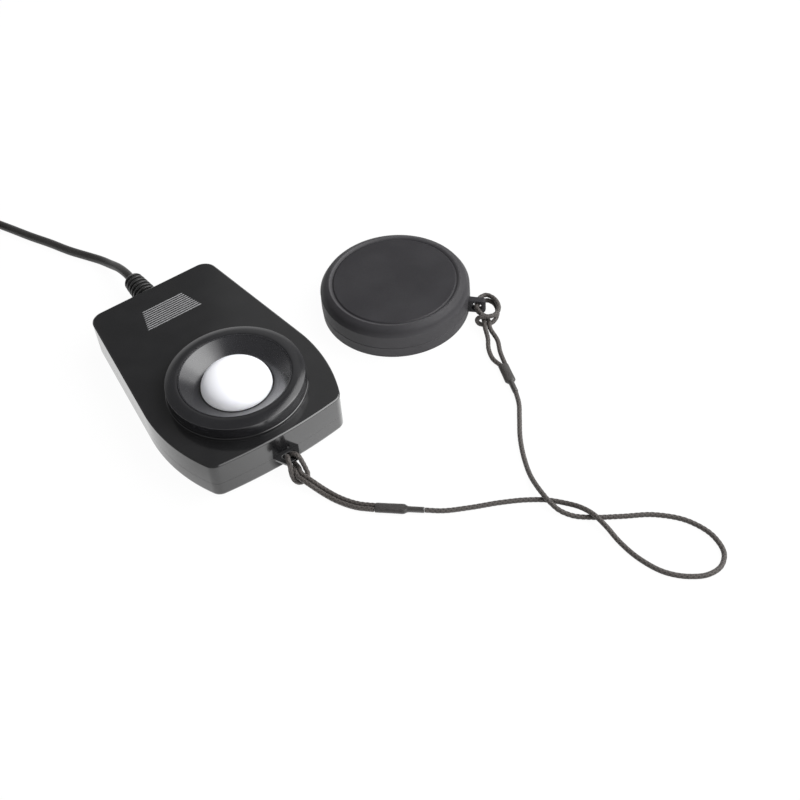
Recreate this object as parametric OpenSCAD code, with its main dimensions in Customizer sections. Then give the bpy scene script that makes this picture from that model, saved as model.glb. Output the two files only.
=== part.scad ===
// Remote light sensor of a lux meter: a flat two-shell housing with an opal dome in a
// conical dish, a tethered dust cap lying beside it, and a lead with its plug.
// Millimetres. +Z is up, the lead leaves at +Y, the tether at -Y, and the origin is
// on the underside at the middle of the housing.

/* [Housing] */
// Length of the housing from front edge to back edge
housing_l = 87; // [84:0.5:96]
// Greatest width of the housing
housing_w = 60; // [58:0.5:66]
// Width of the back edge before its corners are rounded
back_w = 47; // [43:0.5:52]
// Distance of the widest point in front of the middle
widest_forward = 15; // [12:0.5:18]
// Radius of each side from the widest point to the front
side_arc_r = 60; // [54:1:75]
// Radius of the bowed front edge
front_arc_r = 165; // [120:5:300]
// Radius of the back corners
back_corner_r = 5; // [4.5:0.5:8]
// Radius of the front corners
front_corner_r = 4; // [4:0.5:6]
// Height of the flat top face
housing_h = 14.4; // [14:0.1:18]
// Height of the parting line between the shells
parting_z = 6.2; // [5.8:0.1:6.8]
// Wall thickness of both shells
wall = 2; // [1.6:0.1:2.3]
// Rounding of the top edge
top_round = 0.6; // [0.4:0.1:1.2]
// Rounding of the bottom edge
bottom_round = 1.6; // [0.8:0.1:1.9]
// Depth of the groove along the parting line
parting_groove = 0.3; // [0.15:0.05:0.4]
// Thickness of the locating lip inside the parting line
lip_t = 0.9; // [0.7:0.1:1.1]
// Height of the locating lip above the parting line
lip_h = 1.2; // [0.8:0.1:2]
// Clearance of parts that slide or drop into each other
fit = 0.15; // [0.08:0.01:0.25]

/* [Thumb grip] */
// Width of the thumb grip at its back edge
grip_back_w = 15.8; // [12:0.2:18]
// Width of the thumb grip at its front edge
grip_front_w = 21.4; // [18:0.2:24]
// Length of the thumb grip
grip_l = 9.8; // [8:0.1:12]
// Distance of the grip's back edge from the back edge of the housing
grip_inset = 9.2; // [7:0.1:12]
// Depth of the pocket that the grip is set in
grip_pocket = 0.9; // [0.6:0.1:1.1]
// Number of ribs across the grip
grip_ribs = 10; // [8:1:12]
// Radius of the half-round ribs
rib_r = 0.36; // [0.25:0.01:0.42]
// Height of the ribs above the top face
rib_rise = 0.45; // [0.3:0.05:0.6]

/* [Sensor] */
// Distance of the sensor's axis in front of the middle
sensor_forward = 17; // [15:0.5:18]
// Height of the raised ring that the collar stands on
plinth_h = 0.8; // [0.4:0.1:1.2]
// Width of the raised ring's sloped foot round the collar
plinth_edge = 0.3; // [0.3:0.1:0.8]
// Width of the raised ring's flat top round the collar
plinth_lip = 0.15; // [0.1:0.05:0.25]
// Outer radius of the collar
collar_r = 22.8; // [22.4:0.1:23.5]
// Height of the collar above the raised ring
collar_h = 5; // [4.6:0.1:6]
// Fall of the collar's shoulder from crest to rim
shoulder_fall = 0.75; // [0.5:0.05:1.2]
// Rounding of the collar's rim
collar_round = 0.2; // [0.1:0.05:0.5]
// Wall of the collar's spigot in the top shell, measured from the dish
spigot_wall = 2; // [1.6:0.1:2.6]
// Outer radius of the dish
dish_r = 18.4; // [17.8:0.1:18.8]
// Width of the flat lip round the dish
dish_lip = 0.3; // [0.2:0.1:0.8]
// Depth of the dish from its lip to the dome
dish_depth = 4.5; // [4:0.1:5]
// Thickness of the dish at its inner edge
dish_edge = 0.3; // [0.2:0.05:0.4]
// Radius of the diffuser dome
dome_r = 11.7; // [11:0.1:12.8]
// Height of the dome above the bottom of the dish
dome_h = 6.9; // [5:0.1:7.5]
// Wall thickness of the dome
dome_wall = 1.3; // [1:0.1:1.6]
// Gap between the dome and the dish
dome_gap = 0.55; // [0.3:0.05:0.7]
// Width of the dome's flange
dome_flange = 2.2; // [1.6:0.1:2.6]
// Thickness of the dome's flange
dome_flange_t = 0.7; // [0.5:0.1:0.9]
// Thickness of the seal under the dome
seal_t = 0.6; // [0.4:0.1:0.8]
// Thickness of the ledge that carries the dome
ledge_t = 1.2; // [1:0.1:1.4]

/* [Inside] */
// Height of the posts that carry the board
post_h = 2.6; // [2.2:0.1:3]
// Radius of the posts that carry the board
post_r = 2.4; // [2.1:0.1:2.8]
// Width of the board
board_w = 32; // [30:0.5:33]
// Length of the board
board_l = 30; // [28:0.5:31]
// Thickness of the board
board_t = 1.6; // [1.2:0.1:1.8]
// Distance of the board screws from the board's edges
board_screw_inset = 3.5; // [3:0.1:4]
// Outer radius of the filter holder
holder_r = 8; // [7.5:0.1:9]
// Radius of the colour filter
filter_r = 5.5; // [5:0.1:6]
// Thickness of the colour filter
filter_t = 2; // [1.5:0.1:2.2]
// Radius of the photodiode's can
diode_r = 4.2; // [3.8:0.1:4.6]
// Height of the photodiode's can
diode_h = 3.4; // [2.8:0.1:3.8]
// Gap between the photodiode and the colour filter
filter_gap = 1; // [0.6:0.1:1.4]
// Distance of the wires on the board from the middle line
wire_spread = 5; // [4:0.5:8]
// Diameter of the wires
wire_d = 1; // [0.8:0.1:1.4]

/* [Screws] */
// Radius of the case screws
screw_r = 1.2; // [1:0.05:1.4]
// Radius of the case screws' heads
screw_head_r = 2.3; // [2:0.1:2.5]
// Height of the case screws' heads
screw_head_h = 1.5; // [1.2:0.1:1.8]
// Depth of the heads below the underside
screw_sink = 1; // [0.6:0.1:1.4]
// Radius of the bosses in the top shell
boss_r = 2.7; // [2.4:0.1:3]
// Radius of the pillars in the bottom shell
pillar_r = 3.7; // [3.4:0.1:3.9]
// Distance of the front screws from the middle line
front_screw_x = 19.5; // [18:0.5:20.5]
// Distance of the front screws from the front edge
front_screw_inset = 8; // [7.5:0.1:9]
// Distance of the back screws from the middle line
back_screw_x = 15; // [13:0.5:16]
// Distance of the back screws from the back edge
back_screw_inset = 14; // [10:0.5:18]

/* [Tether tab] */
// Width of the tab where it meets the housing
tab_root_w = 10.2; // [9:0.2:12]
// Width of the tab at its tip
tab_tip_w = 6.8; // [6.2:0.2:8]
// Length that the tab stands out
tab_l = 4.7; // [4.4:0.1:5.8]
// Thickness of the tab
tab_t = 2.2; // [1.8:0.1:2.4]
// Radius of the tab's corners
tab_corner_r = 1.2; // [0.8:0.1:1.8]
// Length of the slot in the tab
slot_l = 4.8; // [4.5:0.1:5.6]
// Room that the slot leaves round the tether cord
slot_room = 0.8; // [0.6:0.1:1.2]
// Thickness of the bar in front of the slot
slot_bar = 1.6; // [1.3:0.1:1.9]

/* [Strain relief] */
// Radius of the strain relief at the housing
relief_r = 4.6; // [4:0.1:5]
// Radius of the strain relief at its tip
relief_tip_r = 3.1; // [2.6:0.1:3.4]
// Length of the strain relief outside the housing
relief_l = 16; // [14:0.5:20]
// Number of grooves along the strain relief
relief_grooves = 7; // [4:1:8]
// Depth of the grooves
relief_groove = 0.6; // [0.3:0.05:0.8]
// Radius of the neck in the wall
relief_neck_r = 3.2; // [2.8:0.1:3.4]
// Radius of the flange behind the wall
relief_flange_r = 4.3; // [3.8:0.1:4.4]
// Thickness of the flange behind the wall
relief_flange_t = 1.8; // [1.2:0.1:2.4]
// Height of the strain relief's axis above half the housing's height
relief_lift = -0.3; // [-0.5:0.1:0.5]

/* [Lead and plug] */
// Diameter of the lead
lead_d = 3.2; // [2.8:0.1:3.8]
// Radius of the innermost turn of the put-away coil
coil_in_r = 14.55; // [14:0.05:16]
// Gap between neighbouring turns and layers of the coil
coil_room = 0.5; // [0.45:0.05:1]
// Turns in each of the coil's four layers
coil_turns = 2.5; // [2.5:1:3.5]
// Thickness of the tie round the coil
tie_t = 0.5; // [0.4:0.1:0.6]
// Width of the tie round the coil
tie_w = 6; // [4:0.5:8]
// Radius of the plug's grip
plug_r = 4.6; // [4.2:0.1:5]
// Length of the plug's grip
plug_l = 22; // [18:0.5:26]
// Length of the plug's tapered tail
plug_tail_l = 10; // [8:0.5:14]
// Radius of the jack's contacts
jack_r = 1.75; // [1.25:0.05:3]
// Length of the jack's contacts
jack_l = 14; // [12:0.5:15]

/* [Cap and tether] */
// Wall thickness of the cap at its rim
cap_wall = 3; // [2.7:0.1:3.9]
// Height of the cap
cap_h = 11.7; // [11:0.1:13]
// Wall thickness of the cap's top
cap_top_t = 1.8; // [1.5:0.1:2]
// Clearance between the cap and the collar
cap_fit = 0.3; // [0.2:0.05:0.5]
// Width of the cap's sloping shoulder
cap_slope_w = 3.65; // [3:0.05:4.2]
// Fall of the cap's sloping shoulder
cap_slope_h = 2.8; // [2:0.1:3.4]
// Bow of the cap's sloping shoulder
cap_bow = 0.2; // [0.1:0.05:0.4]
// Depth of the fine groove under the cap's shoulder
cap_step = 0.15; // [0.1:0.05:0.3]
// Distance of the groove round the cap's top disc from the shoulder
cap_rim_w = 0.7; // [0.2:0.1:1.6]
// Width of that groove
cap_groove_w = 0.6; // [0.4:0.1:1]
// Depth of that groove
cap_groove = 0.3; // [0.2:0.05:0.6]
// Height of the line round the cap's wall
cap_line_z = 3.6; // [3:0.1:5]
// Depth of the line round the cap's wall
cap_line = 0.25; // [0.15:0.05:0.4]
// Length that the cap's fin stands out
fin_l = 6.1; // [5.5:0.1:7]
// Thickness of the cap's fin
fin_t = 2.4; // [1.8:0.1:2.8]
// Height of the cap's fin
fin_h = 5.4; // [5:0.1:6.4]
// Thickness of the fin in front of its eye
fin_nose = 1.25; // [1:0.05:1.6]
// Room that the eye leaves round two strands of the tether
eye_room = 0.25; // [0.2:0.05:0.5]
// Diameter of the tether cord
cord_d = 1.5; // [1.2:0.1:1.6]

/* [Hidden] */
$fn = 96;
black_abs = "#2b2b2d";
soft_black = "#3c3c40";
lead_black = "#303032";
cord_black = "#3a3835";
steel = "#b8b8bc";
// Overlap of cutters past the faces that they open
over = 0.5;

// Heights of the stack of sensor pieces
plinth_z = housing_h + plinth_h;
crest_z = plinth_z + collar_h;
spigot_r = dish_r + spigot_wall;
dish_floor_z = crest_z - dish_depth;
flange_top_z = dish_floor_z - dish_edge;
seal_top_z = flange_top_z - dome_flange_t;
ledge_z = seal_top_z - seal_t;
ledge_under_z = ledge_z - ledge_t;
ceiling_z = housing_h - wall;
board_z = wall + post_h;
board_top_z = board_z + board_t;
filter_z = board_top_z + diode_h + filter_gap;
holder_top_z = filter_z + filter_t;

// Points that fix the housing's plan
front_y = -housing_l / 2;
back_y = housing_l / 2;
sensor_y = -sensor_forward;
side_c = [housing_w / 2 - side_arc_r, -widest_forward];
back_p = [back_w / 2, back_y];
side_angle = atan2(back_p.y - side_c.y, back_p.x - side_c.x) - acos(side_arc_r / norm(back_p - side_c));
front_c = [0, front_y + front_arc_r];
// Centre of a front corner, where both arcs set in by its radius cross
corner_base = unit(front_c - side_c);
corner_reach = side_arc_r - front_corner_r;
corner_along = (pow(corner_reach, 2) - pow(front_arc_r - front_corner_r, 2)
  + pow(norm(front_c - side_c), 2)) / (2 * norm(front_c - side_c));
corner_across = sqrt(pow(corner_reach, 2) - pow(corner_along, 2));
corner_c = side_c + corner_along * corner_base + corner_across * [corner_base.y, -corner_base.x];
corner_side_angle = angle_of(corner_c - side_c);
corner_front_angle = angle_of(corner_c - front_c);
back_c_y = back_y - back_corner_r;
back_c = [
  side_c.x + (side_arc_r - back_corner_r - (back_c_y - side_c.y) * sin(side_angle)) / cos(side_angle),
  back_c_y
];

// Places of the screws
case_screw_spots = [
  [front_screw_x, front_y + front_screw_inset], [-front_screw_x, front_y + front_screw_inset],
  [back_screw_x, back_y - back_screw_inset], [-back_screw_x, back_y - back_screw_inset]
];
board_screw_spots = [
  for (sx = [-1, 1], sy = [-1, 1])
    [sx * (board_w / 2 - board_screw_inset), sensor_y + sy * (board_l / 2 - board_screw_inset)]
];
head_z = screw_sink + screw_head_h;

// Relief and lead
relief_z = housing_h / 2 + relief_lift;
relief_tip_y = back_y + relief_l;
lead_r = lead_d / 2;

// Tab, its slot and the bar that the tether hangs on
tab_tip_y = front_y - tab_l;
slot_w = cord_d + slot_room;
slot_y = tab_tip_y + slot_bar + slot_w / 2;

// Cap, in the place where it lies, and its fin
cap_at = [70.6, -5.5];
fin_angle = -47.3;
cap_in_r = collar_r + cap_fit;
cap_r = cap_in_r + cap_wall;
cap_wall_r = cap_r - cap_line;
cap_groove_r = cap_wall_r - cap_slope_w - cap_rim_w - cap_groove_w;
eye_r = cord_d + eye_room;
eye_u = cap_r + fin_l - fin_nose - eye_r;
eye_z = 3.8;
cord_r = cord_d / 2;

function unit(v) = v / norm(v);
function angle_of(v) = atan2(v.y, v.x);
function arc(c, r, a0, a1, n) =
  [for (i = [0 : n]) let (a = a0 + (a1 - a0) * i / n) c + r * [cos(a), sin(a)]];
function mirrored(p) = [for (i = [len(p) - 1 : -1 : 0]) [-p[i].x, p[i].y]];

// Right half of the housing's plan set in by d, from the front middle to the back edge
function half_plan(d) = concat(
  arc(front_c, front_arc_r - d, -90, corner_front_angle, 6),
  arc(corner_c, front_corner_r - d, corner_front_angle, corner_side_angle, 6),
  arc(side_c, side_arc_r - d, corner_side_angle, side_angle, 10),
  arc(back_c, back_corner_r - d, side_angle, 90, 7)
);
// Closed plan set in by d, without doubling the points that neighbours share
function plan(d) = spread([for (p = concat(half_plan(d), mirrored(half_plan(d)))) p]);
function spread(p) = [for (i = [0 : len(p) - 1]) if (norm(p[i] - p[(i + 1) % len(p)]) > 0.01) p[i]];
function plan_ring(d, z) = [for (p = plan(d)) [p.x, p.y, z]];

// Sweep of an oval along a route: tangents, then normals carried along without twist
function tangents(p) =
  [for (i = [0 : len(p) - 1]) unit(p[min(i + 1, len(p) - 1)] - p[max(i - 1, 0)])];
function carried(t, n) = unit(n - t * (t * n));
function normals(t, n0) = [
  for (i = 0, n = carried(t[0], n0); i < len(t); i = i + 1, n = i < len(t) ? carried(t[i], n) : n) n
];
function sweep_rings(p, radii, sides, n0) = let (t = tangents(p), n = normals(t, n0)) [
  for (i = [0 : len(p) - 1]) let (b = cross(t[i], n[i])) [
    for (j = [0 : sides - 1])
      p[i] + radii[i].x * cos(360 * j / sides) * n[i] + radii[i].y * sin(360 * j / sides) * b
  ]
];
function same_radius(p, r) = [for (q = p) [r, r]];
function joined(rings) = [for (ring = rings, q = ring) q];

// Closed skin through rings of equal count, triangles between them and flat ends
module skin(rings) {
  n = len(rings[0]);
  last = (len(rings) - 1) * n;
  sides = [
    for (i = [0 : len(rings) - 2], j = [0 : n - 1], half = [0, 1])
      let (a = i * n + j, b = i * n + (j + 1) % n)
        half == 0 ? [a, a + n, b + n] : [a, b + n, b]
  ];
  polyhedron(
    points = joined(rings),
    faces = concat([[for (j = [0 : n - 1]) j]], sides, [[for (j = [n - 1 : -1 : 0]) last + j]])
  );
}

module cord(route, d, sides = 8, n0 = [0, 0, 1]) {
  skin(sweep_rings(route, same_radius(route, d / 2), sides, n0));
}

// Solid of the plan set in by d, from z0 to z1
module plan_prism(d, z0, z1) {
  translate([0, 0, z0]) linear_extrude(z1 - z0) polygon(plan(d));
}

module at_sensor(z = 0) {
  translate([0, sensor_y, z]) children();
}

module tube(r_out, r_in, h) {
  difference() {
    cylinder(r = r_out, h = h);
    translate([0, 0, -over]) cylinder(r = r_in, h = h + 2 * over);
  }
}

// Opening in the back wall for the strain relief's neck
module relief_opening() {
  translate([0, back_y + over, relief_z]) rotate([90, 0, 0])
    cylinder(r = relief_neck_r + fit, h = wall + 2 * over);
}

// Way in for the neck, from the parting line up to its axis
module relief_entry() {
  translate([-relief_neck_r - fit, back_y - wall - over, parting_z - over])
    cube([2 * (relief_neck_r + fit), wall + 2 * over, relief_z - parting_z + over]);
}

module tether_tab() {
  translate([0, 0, parting_z - tab_t]) difference() {
    linear_extrude(tab_t) {
      tip = tab_tip_w / 2;
      polygon([
        [-tab_root_w / 2, front_y + wall / 2], [tab_root_w / 2, front_y + wall / 2],
        [tip, tab_tip_y + tab_corner_r], [tip - tab_corner_r, tab_tip_y],
        [tab_corner_r - tip, tab_tip_y], [-tip, tab_tip_y + tab_corner_r]
      ]);
      for (s = [-1, 1])
        translate([s * (tip - tab_corner_r), tab_tip_y + tab_corner_r]) circle(r = tab_corner_r);
    }
    reach = (slot_l - slot_w) / 2;
    translate([-reach, slot_y - slot_w / 2, -over]) cube([2 * reach, slot_w, tab_t + 2 * over]);
    for (s = [-1, 1])
      translate([s * reach, slot_y, -over]) cylinder(d = slot_w, h = tab_t + 2 * over);
  }
}

module bottom_shell() {
  steps = 4;
  rings = concat(
    [for (i = [0 : steps]) let (a = 90 * i / steps)
      plan_ring(bottom_round * (1 - sin(a)), bottom_round * (1 - cos(a)))],
    [plan_ring(0, parting_z - parting_groove), plan_ring(parting_groove, parting_z)]
  );
  color(black_abs) difference() {
    union() {
      difference() {
        skin(rings);
        plan_prism(wall, wall, parting_z + over);
      }
      difference() {
        plan_prism(wall + fit, wall, parting_z + lip_h);
        plan_prism(wall + fit + lip_t, wall - over, parting_z + lip_h + over);
        translate([0, back_y - wall, relief_z]) rotate([90, 0, 0])
          cylinder(r = relief_flange_r + 2 * fit, h = 2 * (wall + lip_t), center = true);
        translate([-relief_flange_r - 2 * fit, back_y - 2 * wall - lip_t, relief_z])
          cube([2 * (relief_flange_r + 2 * fit), 2 * wall + lip_t, lip_h + housing_h]);
      }
      for (p = case_screw_spots) translate([p.x, p.y, wall / 2])
        cylinder(r = pillar_r, h = parting_z - wall / 2);
      for (p = board_screw_spots) translate([p.x, p.y, wall / 2])
        cylinder(r = post_r, h = board_z - wall / 2);
      tether_tab();
    }
    for (p = case_screw_spots) translate([p.x, p.y, 0]) {
      translate([0, 0, -over]) cylinder(r = screw_head_r + fit, h = head_z + over);
      cylinder(r = screw_r + fit, h = parting_z + over);
    }
    for (p = board_screw_spots) translate([p.x, p.y, wall]) cylinder(r = board_screw_r + fit, h = board_z);
    relief_opening();
  }
}

module top_shell() {
  steps = 4;
  rings = concat(
    [plan_ring(0, parting_z)],
    [for (i = [0 : steps]) let (a = 90 * i / steps)
      plan_ring(top_round * (1 - cos(a)), housing_h - top_round * (1 - sin(a)))]
  );
  color(black_abs) difference() {
    union() {
      difference() {
        union() {
          skin(rings);
          at_sensor(housing_h - over) cylinder(
            r1 = collar_r + plinth_edge + over * (plinth_edge - plinth_lip) / plinth_h,
            r2 = collar_r + plinth_lip, h = plinth_h + over
          );
        }
        plan_prism(wall, parting_z - over, ceiling_z);
      }
      for (p = case_screw_spots) translate([p.x, p.y, parting_z])
        cylinder(r = boss_r, h = ceiling_z - parting_z + over);
    }
    at_sensor(ceiling_z - over) cylinder(r = spigot_r + fit, h = plinth_z - ceiling_z + 2 * over);
    translate([0, 0, housing_h - grip_pocket]) linear_extrude(grip_pocket + over) polygon(grip_plan(0));
    for (p = case_screw_spots)
      translate([p.x, p.y, parting_z - over]) cylinder(r = screw_r + fit / 3, h = screw_bite + 2 * over);
    relief_opening();
    relief_entry();
  }
}

// Length of the case screws inside the top shell's bosses
screw_bite = 4.5;

module case_screws() {
  color(steel) for (p = case_screw_spots) translate([p.x, p.y, screw_sink]) difference() {
    union() {
      cylinder(r = screw_head_r, h = screw_head_h);
      cylinder(r = screw_r, h = parting_z + screw_bite - screw_sink);
    }
    for (turn = [0, 90]) rotate(turn)
      translate([-screw_head_r * 0.6, -0.25, -over]) cube([screw_head_r * 1.2, 0.5, over + 0.8]);
  }
}

// Plan of the grip, set in by d: a trapezium that widens towards the sensor
function grip_plan(d) = let (y1 = back_y - grip_inset - d, y0 = back_y - grip_inset - grip_l + d) [
  [-grip_back_w / 2 + d, y1], [-grip_front_w / 2 + d, y0],
  [grip_front_w / 2 - d, y0], [grip_back_w / 2 - d, y1]
];

module thumb_grip() {
  pitch = (grip_l - 2 * rib_r) / (grip_ribs - 1);
  last_rib_y = back_y - grip_inset - rib_r;
  color(black_abs) {
    translate([0, 0, housing_h - grip_pocket]) linear_extrude(grip_pocket) polygon(grip_plan(fit));
    intersection() {
      for (i = [0 : grip_ribs - 1])
        translate([0, last_rib_y - i * pitch, housing_h + rib_rise - rib_r]) rotate([0, 90, 0])
          cylinder(r = rib_r - fit / 4, h = grip_front_w, center = true, $fn = 24);
      translate([0, 0, housing_h - grip_pocket / 2])
        linear_extrude(grip_pocket + rib_rise) polygon(grip_plan(fit));
    }
  }
}

module sensor_collar() {
  rim_z = crest_z - shoulder_fall - collar_round;
  shoulder_w = collar_r - collar_round - dish_r - fit;
  // The shoulder bows up from the rim to the crest, where it ends level
  shoulder = [
    for (i = [0 : 6]) let (a = 15 * i)
      [dish_r + fit + shoulder_w * cos(a), crest_z - shoulder_fall * (1 - sin(a))]
  ];
  color(black_abs) at_sensor() difference() {
    union() {
      rotate_extrude() {
        polygon(concat(
          [[0, plinth_z], [collar_r, plinth_z], [collar_r, rim_z], [collar_r - collar_round, rim_z]],
          shoulder, [[0, crest_z]]
        ));
        translate([collar_r - collar_round, rim_z]) circle(r = collar_round);
      }
      translate([0, 0, ledge_under_z]) cylinder(r = spigot_r, h = plinth_z - ledge_under_z + over);
    }
    translate([0, 0, ledge_z]) cylinder(r = dish_r + fit, h = crest_z - ledge_z + over);
    translate([0, 0, ledge_under_z - over]) cylinder(r = dome_r - dome_wall, h = ledge_t + 2 * over);
  }
}

module sensor_dish() {
  in_r = dome_r + dome_gap;
  core_in = dome_r + dome_flange + fit;
  core_out = dish_r - 1;
  core_h = (core_in - in_r) / (dish_r - dish_lip - in_r) * dish_depth;
  color("#38383c") at_sensor() difference() {
    rotate_extrude() polygon([
      [in_r, flange_top_z], [dish_r, flange_top_z], [dish_r, crest_z],
      [dish_r - dish_lip, crest_z], [in_r, dish_floor_z]
    ]);
    translate([0, 0, flange_top_z - over]) difference() {
      cylinder(r = core_out, h = over + core_h - dish_edge);
      translate([0, 0, -over]) cylinder(r = core_in, h = core_h + 2 * over);
    }
  }
}

// Quarter of an ellipse from the rim (r, z) up to the axis at z + h
function dome_arc(r, z, h, n) = [for (i = [0 : n]) let (a = 90 * i / n) [r * cos(a), z + h * sin(a)]];

module diffuser_dome() {
  color("#f4f4f2") at_sensor() rotate_extrude() polygon(concat(
    [[dome_r - dome_wall, seal_top_z], [dome_r + dome_flange, seal_top_z],
      [dome_r + dome_flange, flange_top_z], [dome_r, flange_top_z]],
    dome_arc(dome_r, dish_floor_z, dome_h, 20),
    [for (i = [20 : -1 : 0]) dome_arc(dome_r - dome_wall, dish_floor_z, dome_h - dome_wall, 20)[i]]
  ));
}

module dome_seal() {
  color("#1c1c1e") at_sensor(ledge_z) tube(dome_r + dome_flange, dome_r, seal_t);
}

module colour_filter() {
  color("#6f9a62") at_sensor(filter_z) cylinder(r = filter_r, h = filter_t);
}

module filter_holder() {
  color("#232325") at_sensor() difference() {
    translate([0, 0, board_top_z]) cylinder(r = holder_r, h = holder_top_z - board_top_z);
    translate([0, 0, filter_z]) cylinder(r = filter_r + fit, h = filter_t + over);
    translate([0, 0, board_top_z - over]) cylinder(r = diode_r + 2 * fit, h = holder_top_z);
  }
}

// Pins of the photodiode through the board
pin_x = 1.8;
pin_r = 0.3;

module photodiode() {
  window_r = diode_r - 0.8;
  color("#c9b26a") at_sensor(board_top_z) {
    difference() {
      cylinder(r = diode_r, h = diode_h);
      translate([0, 0, diode_h - 0.4]) cylinder(r = window_r, h = over);
    }
    for (s = [-1, 1]) translate([s * pin_x, 0, -board_t - 0.8]) cylinder(r = pin_r, h = board_t + 0.8);
  }
}

// Small screws of the board
board_screw_r = 0.9;
board_screw_head_r = 1.7;
board_screw_head_h = 1.2;

module sensor_board() {
  color("#2f6b45") difference() {
    translate([-board_w / 2, sensor_y - board_l / 2, board_z]) cube([board_w, board_l, board_t]);
    for (p = board_screw_spots)
      translate([p.x, p.y, board_z - over]) cylinder(r = board_screw_r + fit, h = board_t + 2 * over);
    for (s = [-1, 1]) translate([s * pin_x, sensor_y, board_z - over])
      cylinder(r = pin_r + fit, h = board_t + 2 * over);
  }
}

module board_screws() {
  color(steel) for (p = board_screw_spots) translate([p.x, p.y, 0]) {
    translate([0, 0, board_top_z]) cylinder(r = board_screw_head_r, h = board_screw_head_h);
    translate([0, 0, wall + fit]) cylinder(r = board_screw_r, h = board_top_z - wall);
  }
}

module inner_wires() {
  start_y = back_y - wall - relief_flange_t;
  run = start_y - (sensor_y + board_l * 0.4);
  z_end = board_top_z + wire_d / 2;
  z_mid = (relief_z + z_end) / 2;
  color("#a83a32") for (s = [-1, 1]) cord([
    [s * wire_d, start_y, relief_z], [s * wire_d, start_y - run * 0.08, relief_z],
    [s * wire_spread * 0.6, start_y - run * 0.32, relief_z], [s * wire_spread, start_y - run * 0.64, z_mid],
    [s * wire_spread, start_y - run * 0.86, z_end], [s * wire_spread, start_y - run, z_end]
  ], wire_d, 8, [1, 0, 0]);
}

module strain_relief() {
  pitch = relief_l / (relief_grooves + 1);
  groove_w = pitch * 0.4;
  tip_round = 1;
  function cone_r(y) = relief_r + (relief_tip_r - relief_r) * y / relief_l;
  ribs = [
    for (i = [1 : relief_grooves]) let (y = i * pitch) each [
      [cone_r(y - groove_w / 2), y - groove_w / 2],
      [cone_r(y) - relief_groove, y - groove_w / 4],
      [cone_r(y) - relief_groove, y + groove_w / 4],
      [cone_r(y + groove_w / 2), y + groove_w / 2]
    ]
  ];
  color(lead_black) translate([0, back_y, relief_z]) rotate([-90, 0, 0]) rotate_extrude() polygon(concat(
    [[0, -wall - relief_flange_t], [relief_flange_r, -wall - relief_flange_t],
      [relief_flange_r, -wall], [relief_neck_r, -wall], [relief_neck_r, 0], [relief_r, 0]],
    ribs,
    [[relief_tip_r, relief_l - tip_round], [relief_tip_r - tip_round * 0.3, relief_l - tip_round * 0.3],
      [relief_tip_r - tip_round, relief_l], [0, relief_l]]
  ));
}

// Route of the lead from the strain relief down to the floor and on to the coil
coil_pitch = lead_d + coil_room;
coil_z = lead_r + tie_t + 0.1;
coil_at = [-52, 143];
coil_out_r = coil_in_r + coil_pitch * coil_turns;
coil_start = [coil_at.x + coil_out_r, coil_at.y - lead_d, coil_z];
lead_route = [
  [0, relief_tip_y, relief_z], [0, relief_tip_y + 3, relief_z], [-0.2, 69.5, 5.6],
  [-1.1, 77, 3.2], [-2.6, 83, 2], [-4.7, 87.4, 1.7], [-9.1, 95.6, lead_r], [-13.1, 104.6, lead_r],
  [-17.2, 113, lead_r], [-21.2, 122, lead_r], [-25, 130, 1.8], [-27.6, 135, 2.1],
  [coil_start.x, coil_start.y - 2.4, coil_z], coil_start
];

module lead() {
  color(lead_black) cord(lead_route, lead_d, 8);
}

// Coil of four layers: turns spiral in and out, and each half turn between climbs a layer
layer_span = coil_turns + 0.5;
coil_total = 4 * coil_turns + 3 * 0.5;
function coil_part(t) = let (k = min(floor(t / layer_span), 3), u = t - k * layer_span)
  u <= coil_turns ? [k, u / coil_turns, 0] : [k, 1, u - coil_turns];
function coil_radius(t) = let (c = coil_part(t), inward = c[0] % 2 == 0, v = c[2])
  (inward ? coil_out_r - coil_pitch * coil_turns * c[1] : coil_in_r + coil_pitch * coil_turns * c[1])
  + (inward ? -1 : 1) * coil_pitch * (v - 2 * v * v);
function coil_height(t) = let (c = coil_part(t)) coil_z + coil_pitch * (c[0] + 2 * c[2]);
function coil_point(t) = let (r = coil_radius(t), a = 360 * t)
  [coil_at.x + r * cos(a), coil_at.y + r * sin(a), coil_height(t)];
coil_rings = round(coil_total * 24);
coil_turn_points = [for (i = [0 : coil_rings]) coil_point(coil_total * i / coil_rings)];
coil_end = coil_turn_points[coil_rings] + [0, -lead_d, 0];
coil_route = concat([coil_start], coil_turn_points, [coil_end]);
// Least gap of the coil to itself, over points more than a third of a turn apart
coil_gap = min([
  for (i = [0 : 2 : coil_rings], j = [i + 8 : 1 : coil_rings])
    norm(coil_turn_points[i] - coil_turn_points[j])
]) - lead_d;
echo(coil_gap = coil_gap);
function route_length(p) = let (steps = [for (i = [1 : len(p) - 1]) norm(p[i] - p[i - 1])])
  steps * [for (s = steps) 1];
echo(lead_length = route_length(lead_route) + route_length(coil_route) + route_length(tail_route));

module lead_coil() {
  color(lead_black) cord(coil_route, lead_d, 6);
}

// Tail of the lead from the top of the coil down to the plug
plug_at = [-79.6, 98, plug_r];
tail_route = [
  coil_end, coil_end + [0, -5, 0], [-76.2, 128, 12.8], [-77.2, 121, 10.6], [-78.4, 114, 7.8],
  [-79.2, 108, 5.8], [plug_at.x, plug_at.y + 3, plug_r], plug_at
];

module lead_tail() {
  color(lead_black) cord(tail_route, lead_d, 8);
}

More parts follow.
